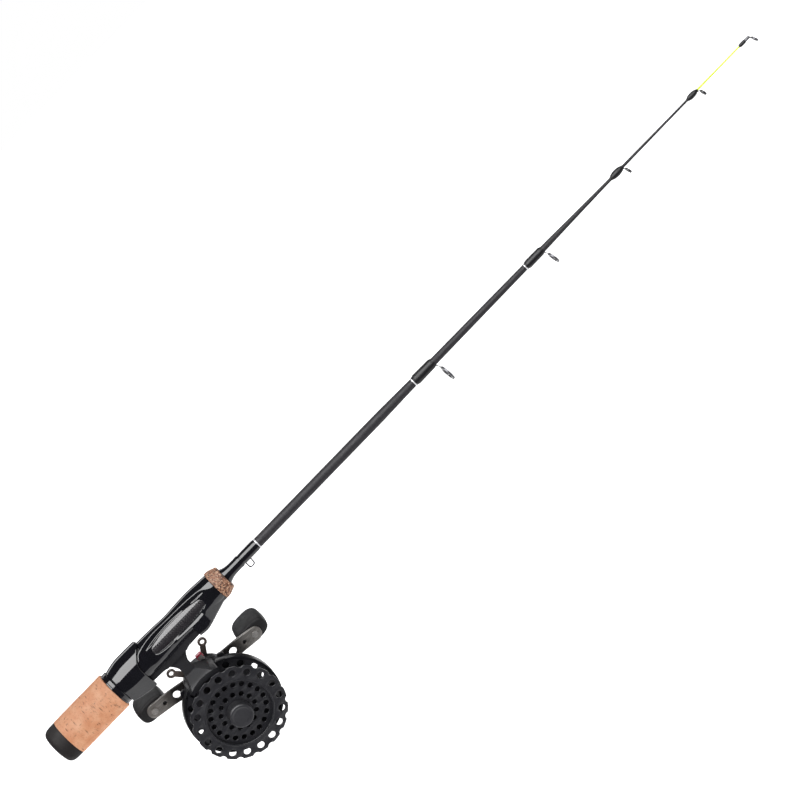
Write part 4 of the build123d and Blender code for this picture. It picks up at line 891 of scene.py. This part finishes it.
def fore_ring():
    """Granulated cork ring with softly broken edges and loose grains standing proud."""
    rear, front = span("fore_ring")
    wide = outside_radius("fore_ring")
    narrow, bore, recess, recess_depth = 8.2, 3.4, 5.45, 2.2
    grains, grain_lift, sunk = 0.85, 0.16, 0.06
    outline = rounded([(rear, 8.0), (rear, wide, 0.45), (rear + 3.0, wide - 0.1, 1.6), (front, narrow, 0.5),
                       (front, recess)], 0.5, steps=6)
    hollow = [(front - recess_depth, recess), (front - recess_depth, bore), (rear, bore)]
    points, faces = turned_stations(cut_short(outline, 0.18) + hollow, sides=320)
    bumpy = []
    for x, y, z in points:
        out = sqrt(y * y + z * z)
        scale = 1.0
        if out > recess + 0.15:
            first, second = noise.voronoi(Vector((x, y, z)) * grains)[0][:2]
            scale += ((second - first - 0.3) * grain_lift - sunk) / out
        bumpy.append((x, y * scale, z * scale))
    return bumpy, faces


def hosel():
    """Winding check: flared collar, waist and a small bead at its front."""
    rear, front = span("hosel")
    bore, flare = 3.38, 5.4
    seat = rear + 2.2
    shape = rounded([(rear, bore), (rear, flare), (seat, flare), (seat + 0.5, 5.45), (seat + 2.8, 4.5, 1.5),
                     (seat + 5.4, 3.95, 1.5), (front - 2.4, 3.85, 0.6), (front - 1.8, 4.02, 0.5),
                     (front, 3.92, 0.35), (front, bore)], 0.3, steps=6)
    return turned_stations(shape, sides=80)


# --- blank ---
BLANK_PROFILE = ((64.0, 3.35), (283.0, 3.35), (306.0, 2.9), (335.0, 2.5), (379.0, 2.3), (430.0, 2.0),
                 (452.0, 1.53), (481.0, 1.05), (525.0, 0.8), (561.5, 0.7))
BLANK_CORE = 0.4
TRIM_STATIONS = (175.2, 312.2, 410.2)
TRIM_LENGTH, TRIM_HEIGHT = 0.8, 0.25
THREAD_TURN = 0.2
THREAD_RIDGE = 0.022
THREAD_START = 0.14
KEEPER_WIRE = 0.42
KEEPER_BEND = 1.4


def blank_radius(station):
    """Outside radius of the blank."""
    return straight(BLANK_PROFILE, station)


def blank():
    """Tapered blank with a soft start to each taper."""
    rear, front = span("blank")
    stations = np.arange(rear, front, 2.0)
    softened = [np.mean(blank_radius(station + np.linspace(-5, 5, 11))) for station in stations]
    tail = [(front - 0.2, 0.68), (front, 0.62), (front, BLANK_CORE)]
    return turned_stations([(rear, BLANK_CORE)] + list(zip(stations, softened)) + tail, sides=64)


def winding(rear, front, belly=0.0, thickness=0.72):
    """Varnished winding: tapered ends, single turns of thread showing and an optional swelling."""
    shoulder = min(2.2, (front - rear) / 4)
    stations = np.arange(rear, front + 0.01, THREAD_TURN / 4)
    full = eased(0, shoulder, stations - rear) * eased(0, shoulder, front - stations)
    lift = THREAD_START + (thickness - THREAD_START) * full
    lift += belly * np.sin(pi * (stations - rear) / (front - rear))**2
    lift -= THREAD_RIDGE * (1 - np.abs(np.sin(pi * stations / THREAD_TURN)))
    first, last = [(station, blank_radius(station) - 0.05) for station in (rear, front)]
    outside = list(zip(stations, blank_radius(stations) + lift))
    return turned_stations([first] + outside + [last], sides=64)


def tip_section():
    """Yellow tip: a thin core inside the blank, then a slow taper to the tip top."""
    rear, front = span("tip_section")
    joint = BLANK_PROFILE[-1][0]
    profile = [(rear, BLANK_CORE), (joint, BLANK_CORE), (joint, 0.62), (598.0, 0.52), (front - 0.2, 0.5),
               (front, 0.35)]
    return turned_stations(profile, sides=32, closed=False)


def hook_keeper():
    """Wire loop below the blank whose feet go under a winding."""
    low, high = limits("hook_keeper")
    legs = (low.x + KEEPER_WIRE + 0.1, high.x - KEEPER_WIRE)
    root = 0.1 - blank_radius((low.x + high.x) / 2 - BUTT)
    bottom = low.z + KEEPER_WIRE
    loop = bent_path([(legs[0], root), (legs[0] - 0.1, bottom), (legs[1] - 0.5, bottom), (legs[1], root)],
                     KEEPER_BEND)
    return swept(loop, 2 * KEEPER_WIRE, 2 * KEEPER_WIRE)


def trim_rings():
    """Narrow bright bands round the blank."""
    bands = []
    for station in TRIM_STATIONS:
        end = station + TRIM_LENGTH
        inside, outside = blank_radius(station) - 0.05, blank_radius(station) + TRIM_HEIGHT
        section = [(station, inside, 0), (station, outside), (end, outside), (end, inside, 0)]
        bands.append(turned_stations(rounded(section, 0.15, closed=True), sides=64))
    return joined(*bands)


def make_handle():
    """Everything from the butt cap to the winding check in front of the seat."""
    make("butt_cap", "grip", "end_rubber", butt_cap())
    cork, pits = cork_grip()
    # the cork's pits carry painted shade as its tone
    make("rear_grip", "grip", "cork", cork, tone=pits)
    make("lock_nut", "grip", "seat_gloss", lock_nut())
    make("threaded_barrel", "rod", "seat_gloss", threaded_barrel())
    make("sliding_hood", "hood", "seat_gloss", sliding_hood(), sharp=24)
    make("seat_body", "rod", "seat_gloss", seat_body(), sharp=70)
    make("seat_tube", "rod", "woven_carbon", seat_tube())
    make("fore_ring", "rod", "burl_cork", fore_ring(), sharp=180)
    make("hosel", "rod", "seat_gloss", hosel())


def make_blank():
    """Blank, tip, hook keeper and bright rings."""
    make("blank", "rod", "blank_carbon", blank())
    make("tip_section", "rod", "tip_glass", tip_section())
    make("hook_keeper", "rod", "guide_steel", hook_keeper())
    keeper_wrap = winding(*span("keeper_wrap"), thickness=0.42)
    make("keeper_wrap", "rod", "thread_varnish", keeper_wrap, "seat_gloss")
    make("trim_rings", "rod", "bright_trim", trim_rings())


# --- line guides ---
RING_TWIST = radians(8.0)
GUIDE_LEANS = {1: 0.0, 2: 6.0, 3: 12.0, 4: 10.0}
GUIDE_BELLIES = {1: 0.0, 2: 0.0, 3: 0.65, 4: 0.45}
LAST_STEEL_GUIDE = 2
FRAME_WALL = 0.42
STRAP_THICKNESS = 0.42
TIP_TOP = {"lean": 18.0, "rear": 599.2, "front": 607.0, "radius": 0.95}


def hoop(outer, inner, thickness, round_by, centre, lean):
    """Ring with rounded edges, leaning about the Y axis and turned slightly about the Z axis."""
    half = thickness / 2
    section = rounded([(-half, inner), (-half, outer), (half, outer), (half, inner)], round_by, closed=True)
    turn = Matrix.Translation((centre[0], 0, centre[1])) @ Matrix.Rotation(RING_TWIST, 4, "Z")
    turn = turn @ Matrix.Rotation(-radians(lean), 4, "Y")
    return moved(turned(section, sides=64), turn)


def ring_place(node):
    """Middle of a guide's ring in X and Z, and its outside radius."""
    low, high = limits(node)
    return ((low.x + high.x) / 2, (low.z + high.z) / 2), high.y


def line_guide(number):
    """One guide: ceramic ring, hoop on a bent strap, and the winding over its foot."""
    centre, seat = ring_place(f"guide_{number}_ring")
    outer = seat + FRAME_WALL
    lean = GUIDE_LEANS[number]
    hole = seat * 0.76 - 0.06
    make(f"guide_{number}_ring", "rod", "ring_ceramic", hoop(seat, hole, 1.25, 0.5, centre, lean))
    rear, front = span(f"guide_{number}_wrap")
    foot = rear + (front - rear) * 0.35
    surface = -float(blank_radius(front))
    top = (centre[0] - outer * sin(radians(lean)), centre[1] + outer - 0.3)
    path = bent_path([(at(foot), -float(blank_radius(foot)) - 0.1), (at(front) - 0.4, surface - 0.2, 1.2),
                      (top[0] - 0.1, top[1] + 0.25, 0.8), (top[0], top[1] - 0.2)], 1.0)
    wide = min(2.6, outer * 0.5)
    shape = ((0, 0.7), (0.15, wide * 0.8), (0.6, wide * 0.62), (0.85, wide), (1, wide))
    widths = straight(shape, np.linspace(0, 1, len(path)))
    strap = swept(path, widths, STRAP_THICKNESS, power=2.6)
    rim = hoop(outer, seat - 0.02, 1.3, 0.3, centre, lean)
    metal = "guide_steel" if number <= LAST_STEEL_GUIDE else "guide_black"
    make(f"guide_{number}_frame", "rod", metal, joined(strap, rim))
    make(f"guide_{number}_wrap", "rod", "thread_varnish", winding(rear, front, GUIDE_BELLIES[number]))


def tip_top():
    """Tip top: capped tube, strut and ring, with a short winding behind."""
    centre, seat = ring_place("tip_top_ring")
    outer = seat + FRAME_WALL
    lean = TIP_TOP["lean"]
    make("tip_top_ring", "rod", "ring_ceramic", hoop(seat, seat - 0.5, 1.2, 0.4, centre, lean))
    rear, front, radius = TIP_TOP["rear"], TIP_TOP["front"], TIP_TOP["radius"]
    outline = rounded([(rear, 0.45), (rear, radius), (front - 0.3, radius, 0.5), (front, 0.1)], 0.3)
    tube = turned_stations(outline, sides=40, closed=False)
    top = (centre[0] - outer * sin(radians(lean)) * 0.8, centre[1] + outer * 0.9)
    path = bent_path([(at(front) - 2.2, -0.3), (at(front) - 0.3, -0.7), (top[0], top[1] - 0.1)], 0.8)
    strut = swept(path, 1.2, 0.7, power=2.4)
    rim = hoop(outer, seat - 0.02, 1.2, 0.3, centre, lean)
    make("tip_top_frame", "rod", "guide_steel", joined(tube, strut, rim))
    rear, front = span("tip_top_wrap")
    outline = rounded([(rear, 0.4), (rear, 0.72), (rear + 1.4, 1.2), (front - 0.8, 1.22), (front, 1.0),
                       (front, 0.4)], 0.4, closed=True)
    make("tip_top_wrap", "rod", "thread_varnish", turned_stations(outline, sides=40))


# --- reel ---
BIG_HOLES = {"count": 18, "radius": 2.35, "pitch": 26.8, "start": 16.8}
MIDDLE_HOLES = {"count": 20, "radius": 1.75, "pitch": 18.0, "start": 4.0}
INNER_HOLES = {"count": 13, "radius": 1.7, "pitch": 11.4, "start": 10.0}
FLANGE_RADIUS = 31.0
BITE_DEPTH = 1.3
POINTS_PER_BITE = 24
STEP_RADII = (21.2, 22.4)
FACE_Y = {"flange": (-10.0, -8.6), "step": (-10.0, -5.5), "disc": (-7.0, -5.5)}
SHAFT_RADIUS = 2.45


def hole_outlines(holes):
    """Outlines of a circle of round holes."""
    outlines = []
    for index in range(holes["count"]):
        angle = radians(holes["start"] + index * 360 / holes["count"])
        outlines.append(ring_of(holes["radius"], 28, polar(holes["pitch"], angle, SPOOL)))
    return outlines


def scalloped_outline():
    """Edge of the spool's front flange: round, with an evenly spaced shallow bite between the holes."""
    count = BIG_HOLES["count"]
    bite = pi * FLANGE_RADIUS / count * 0.52
    centre = FLANGE_RADIUS + bite - BITE_DEPTH
    outline = []
    for index in range(count * POINTS_PER_BITE):
        part = index / POINTS_PER_BITE
        offset = radians((part % 1.0 - 0.5) * 360 / count)
        inside = bite**2 - (centre * sin(offset))**2
        radius = FLANGE_RADIUS
        if inside > 0:
            radius = min(radius, centre * cos(offset) - sqrt(inside))
        outline.append(polar(radius, radians(BIG_HOLES["start"] + 360 * part / count), SPOOL))
    return outline


def spool_face():
    """Open face of the spool: drilled flange, raised step and drilled disc."""
    inner, outer = STEP_RADII
    outlines = [scalloped_outline(), ring_of(inner + 0.4, 160, SPOOL)] + hole_outlines(BIG_HOLES)
    flange = plate(outlines, *FACE_Y["flange"], 0.22)
    low, high = FACE_Y["step"]
    lip = rounded([(high, inner), (low - 0.15, inner, 0.35), (low - 0.15, outer, 0.35),
                   (low + 0.2, outer, 0.1), (low + 0.2, outer - 0.3, 0.1), (high, outer - 0.3)],
                  0.15, closed=True, steps=3)
    step = turned(lip, about(SPOOL), 160)
    outlines = [ring_of(inner + 0.2, 160, SPOOL), ring_of(SHAFT_RADIUS, 48, SPOOL)]
    outlines += hole_outlines(MIDDLE_HOLES) + hole_outlines(INNER_HOLES)
    return joined(flange, step, plate(outlines, *FACE_Y["disc"], 0.2))


def spool_cap():
    """Round cap nut with a chamfered rim and a shallow dished face."""
    low, high = limits("spool_cap")
    radius = high.x - SPOOL[0]
    shape = rounded([(low.y + 0.35, 0.05), (low.y + 0.3, radius - 2.6, 0.5), (low.y, radius - 1.7, 0.5),
                     (low.y + 0.1, radius - 0.6, 0.5), (low.y + 1.3, radius, 0.7),
                     (high.y - 1.2, radius, 0.5), (high.y - 0.6, radius - 0.5, 0.3),
                     (high.y, radius - 0.5), (high.y, 0.05)], 0.3)
    return turned(shape, about(SPOOL), 96, closed=False)


def back_flange():
    """Rear flange, drilled in line with the front one."""
    low, high = limits("spool_back_flange")
    radius = high.x - SPOOL[0]
    outlines = [ring_of(radius, 200, SPOOL), ring_of(SHAFT_RADIUS, 48, SPOOL)] + hole_outlines(BIG_HOLES)
    return plate(outlines, low.y, high.y, 0.2)


STAR = {"tip": 23.4, "eye": 3.05, "hole": 1.45, "first": 54.0, "arms": 5, "valley": 6.0, "y": (23.2, 25.0)}
STAR_ARM_SIDE = ((5.6, 3.4), (8.5, 2.4), (12.0, 2.0), (20.4, 1.9))
CRANK_BORE = 3.05


def star_wheel():
    """Five-armed drag wheel: rounded arms with eyelets, and a stepped hub."""
    arm = [(x, -z) for x, z in STAR_ARM_SIDE]
    arm += ring_of(STAR["eye"], 21, (STAR["tip"], 0), -142, 284)
    arm += STAR_ARM_SIDE[::-1]
    outline, eyes = [], []
    for index in range(STAR["arms"]):
        angle = radians(STAR["first"] + index * 360 / STAR["arms"])
        turn = Matrix.Rotation(angle, 2)
        outline += [tuple(Vector(CRANK) + turn @ Vector(point)) for point in arm]
        outline.append(polar(STAR["valley"], angle + pi / STAR["arms"], CRANK))
        eyes.append(ring_of(STAR["hole"], 32, polar(STAR["tip"], angle, CRANK)))
    arms = plate([outline, ring_of(CRANK_BORE, 40, CRANK)] + eyes, *STAR["y"], 0.5)
    low, high = limits("star_wheel")
    hub = rounded([(low.y, CRANK_BORE), (low.y, 6.2), (low.y + 1.6, 6.2, 0.3), (low.y + 2.2, 5.6, 0.3),
                   (high.y, 5.2), (high.y, CRANK_BORE)], 0.4, closed=True)
    return joined(arms, turned(hub, about(CRANK), 64))


ARM = {"pin": 39.3, "end": 4.7, "bore": 3.0, "angle": -9.1, "thickness": 2.0, "rise": 3.2}
ARM_BEND = (7.0, 29.0)
ARM_SIDE = ((22.0, 5.2), (11.0, 5.7), (4.0, 6.4))
ARM_HOLES = ((22.0, 2.65), (31.2, 1.4), (ARM["pin"], 1.5))


def crank_arm():
    """Double arm with rounded edges, drilled, and stepped outwards towards its ends."""
    side = list(ARM_SIDE) + [(-x, half) for x, half in ARM_SIDE[::-1]]
    near_end = ring_of(ARM["end"], 25, (ARM["pin"], 0), -88, 176)
    far_end = ring_of(ARM["end"], 25, (-ARM["pin"], 0), 92, 176)
    outline = near_end + side + far_end + [(x, -half) for x, half in side[::-1]]
    holes = [ring_of(ARM["bore"], 40)]
    holes += [ring_of(radius, 32, (sign * x, 0)) for sign in (-1, 1) for x, radius in ARM_HOLES]
    start, level = ARM_BEND
    cuts = [((sign * place, 0), (1, 0)) for sign in (-1, 1) for place in np.linspace(start, level, 12)]
    near = limits("crank_arm")[0].y
    points, faces = plate([outline] + holes, near, near + ARM["thickness"], 0.35, cuts)
    turn = Matrix.Rotation(radians(ARM["angle"]), 2)
    placed = []
    for x, y, z in points:
        lift = ARM["rise"] * float(eased(start, level, abs(x)))
        spot = turn @ Vector((x, z))
        placed.append((CRANK[0] + spot.x, y + lift, CRANK[1] + spot.y))
    return placed, faces


KNOB_SQUARENESS = 2.9
KNOB_FULLNESS = Vector((1.2, 1.08, 1.2))
KNOB_START, KNOB_DOME = 0.09, 0.72


def knob_scale(t):
    """Size of a knob's section at a part of its length: rounded start, fuller middle and domed far end."""
    start_round = sqrt(max(0.0, 1 - (1 - min(t / KNOB_START, 1.0))**2))
    far = min(max(0.0, (t - KNOB_DOME) / (1 - KNOB_DOME)), 1.0)
    end_round = max(sqrt(1 - far**2.4), 0.02)
    belly = 0.90 + 0.10 * sin(pi * min(1.0, t * 0.95 + 0.12))
    return (0.84 + 0.16 * start_round) * end_round * belly


def knob(joint, node):
    """Paddle knob with a soft rectangular section, about the pin of its joint."""
    centre = joint_axis(joint)
    low, high = limits(node)
    width, length, thickness = (high - low) * KNOB_FULLNESS
    section = superellipse(72, KNOB_SQUARENESS)
    parts = np.concatenate([[0.0], np.linspace(0.012, 0.1, 5), np.linspace(0.16, KNOB_DOME, 12),
                            1 - (1 - KNOB_DOME) * np.cos(np.linspace(0, pi / 2, 14))])
    points = []
    for t in parts:
        scale = knob_scale(t) / 2
        points += [(centre[0] + u * width * scale, low.y + t * length, centre[1] + v * thickness * scale)
                   for u, v in section]
    return points, lattice(len(parts), len(section), False)


def make_reel():
    """Parts of the reel that get their own detailed meshes."""
    make("spool_face", "spool", "spool_black", spool_face())
    make("spool_cap", "spool", "cap_black", spool_cap())
    make("spool_back_flange", "spool", "spool_black", back_flange())
    make("star_wheel", "star", "gunmetal", star_wheel(), sharp=40)
    make("crank_arm", "crank", "gunmetal", crank_arm(), "gunmetal_arm")
    for letter, side in (("a", "tip_side"), ("b", "butt_side")):
        surface = knob(f"knob_{letter}_spin", f"knob_{letter}")
        make(f"knob_{letter}", f"{side}_knob", "knob_rubber", surface, sharp=60)


CARRIED_BEVELS = {"reel_frame": 0.35, "gear_cover": 0.3, "click_tab": 0.15, "crank_nut": 0.2}
SMALL_BEVEL = 0.12
BEVELLED_ANGLE = radians(35)


def finish_carried_nodes():
    """Gives each CAD node that stays in view its paint and softly broken edges."""
    replaced = {node for obj in bpy.data.objects for node in obj.get("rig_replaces", ())}
    slots = {part["node"]: part["material_slot"] for part in frame["record"]["subparts"]}
    for name, obj in frame["nodes"].items():
        if name in replaced:
            continue
        obj.data.materials.clear()
        obj.data.materials.append(PAINTS[slots[name]].material)
        weld = obj.modifiers.new("weld", "WELD")
        weld.merge_threshold = 0.001 * MM
        bevel = obj.modifiers.new("bevel", "BEVEL")
        bevel.width = CARRIED_BEVELS.get(name, SMALL_BEVEL) * MM
        bevel.segments = 2
        bevel.limit_method = "ANGLE"
        bevel.angle_limit = BEVELLED_ANGLE
        bevel.harden_normals = True


# --- studio ---
VIEW_ELEVATION = radians(24.5)
VIEW_ROLL = radians(45.85)
VIEW_DISTANCE = 2.1
VIEW_AIM = (299.0, -1.85)
LENS = 154.7
FLOOR_DROP = 0.5
FLOOR_SIDES = (-2.0, 2.6)
FLOOR_BACK = 2.6
FLOOR_FRONT = -FLOOR_DROP / tan(radians(43))
WHITE = (1.0, 1.0, 1.0, 1.0)
AMBIENT = (0.05, 0.05, 0.055, 1.0)
LIT_STATION = 300.0


def camera():
    """Main camera: square to the rod's side, looking down, and rolled so that the rod lies diagonally."""
    aim = Vector((at(VIEW_AIM[0]), 0.0, VIEW_AIM[1])) * MM
    back = Vector((0, -cos(VIEW_ELEVATION), sin(VIEW_ELEVATION)))
    rise = Vector((0, sin(VIEW_ELEVATION), cos(VIEW_ELEVATION)))
    along = Vector((1, 0, 0))
    right = along * cos(VIEW_ROLL) - rise * sin(VIEW_ROLL)
    up = along * sin(VIEW_ROLL) + rise * cos(VIEW_ROLL)
    lens = bpy.data.cameras.new("camera")
    lens.lens = LENS
    lens.sensor_width = 36.0
    lens.clip_end = 50.0
    holder = bpy.data.objects.new("camera", lens)
    holder.matrix_world = Matrix((right, up, back)).transposed().to_4x4()
    holder.location = aim + back * VIEW_DISTANCE
    bpy.context.scene.collection.objects.link(holder)
    bpy.context.scene.camera = holder


def area_light(name, azimuth, height, distance, size, watts, glossy=True, diffuse=True):
    """Rectangular lamp facing the middle of the rod; azimuth 0 is the -Y side."""
    turn, lift = radians(azimuth), radians(height)
    direction = Vector((sin(turn) * cos(lift), -cos(turn) * cos(lift), sin(lift)))
    lamp = bpy.data.lights.new(name, "AREA")
    lamp.shape = "RECTANGLE"
    lamp.size, lamp.size_y = size
    lamp.energy = watts
    holder = bpy.data.objects.new(name, lamp)
    holder.location = Vector((at(LIT_STATION), 0, 0)) * MM + direction * distance
    holder.rotation_euler = direction.to_track_quat("Z", "Y").to_euler()
    holder.visible_glossy = glossy
    holder.visible_diffuse = diffuse
    bpy.context.scene.collection.objects.link(holder)


def surroundings():
    """White where the camera looks past the floor, and dim ambient light."""
    world = bpy.data.worlds.new("studio")
    bpy.context.scene.world = world
    world.use_nodes = True
    nodes, links = world.node_tree.nodes, world.node_tree.links
    path = nodes.new("ShaderNodeLightPath")
    seen, unseen = nodes["Background"], nodes.new("ShaderNodeBackground")
    seen.inputs["Color"].default_value = WHITE
    unseen.inputs["Color"].default_value = AMBIENT
    mixed = nodes.new("ShaderNodeMixShader")
    links.new(path.outputs["Is Camera Ray"], mixed.inputs[0])
    links.new(unseen.outputs[0], mixed.inputs[1])
    links.new(seen.outputs[0], mixed.inputs[2])
    links.new(mixed.outputs[0], nodes["World Output"].inputs["Surface"])


def pale_floor():
    """Plain white floor well below the rod, a little brighter to the camera than to the rod."""
    paint = Paint("floor", (0.86, 0.86, 0.86, 1.0), 0.9, Emission_Color=WHITE)
    direct = paint.node("ShaderNodeLightPath").outputs["Is Camera Ray"]
    paint.feed("Emission Strength", paint.spread(direct, 0.0, 1.0, 0.75, 0.97))
    left, right = FLOOR_SIDES
    corners = ((left, FLOOR_FRONT), (right, FLOOR_FRONT), (right, FLOOR_BACK), (left, FLOOR_BACK))
    mesh = bpy.data.meshes.new("floor")
    mesh.from_pydata([(x, y, -FLOOR_DROP) for x, y in corners], [], [(0, 1, 2, 3)])
    mesh.materials.append(paint.material)
    floor = bpy.data.objects.new("floor", mesh)
    bpy.context.scene.collection.objects.link(floor)


def studio():
    """Pale surroundings, a long softbox above for the reflections, and lamps in front and behind."""
    bpy.context.scene.view_settings.view_transform = "Standard"
    surroundings()
    pale_floor()
    area_light("softbox", 0, 63, 1.3, (2.2, 1.2), 77, diffuse=False)
    area_light("key", 0, 66, 1.25, (2.0, 1.1), 11, glossy=False)
    area_light("fill_front", -20, 12, 1.8, (1.6, 1.0), 18, glossy=False)
    area_light("back_strip", 180, 22, 1.6, (2.0, 0.35), 6)
    area_light("back_fill", 160, 45, 1.8, (1.6, 1.0), 14, glossy=False)


make_handle()
make_blank()
for guide_number in GUIDE_LEANS:
    line_guide(guide_number)
tip_top()
make_reel()
finish_carried_nodes()
camera()
studio()
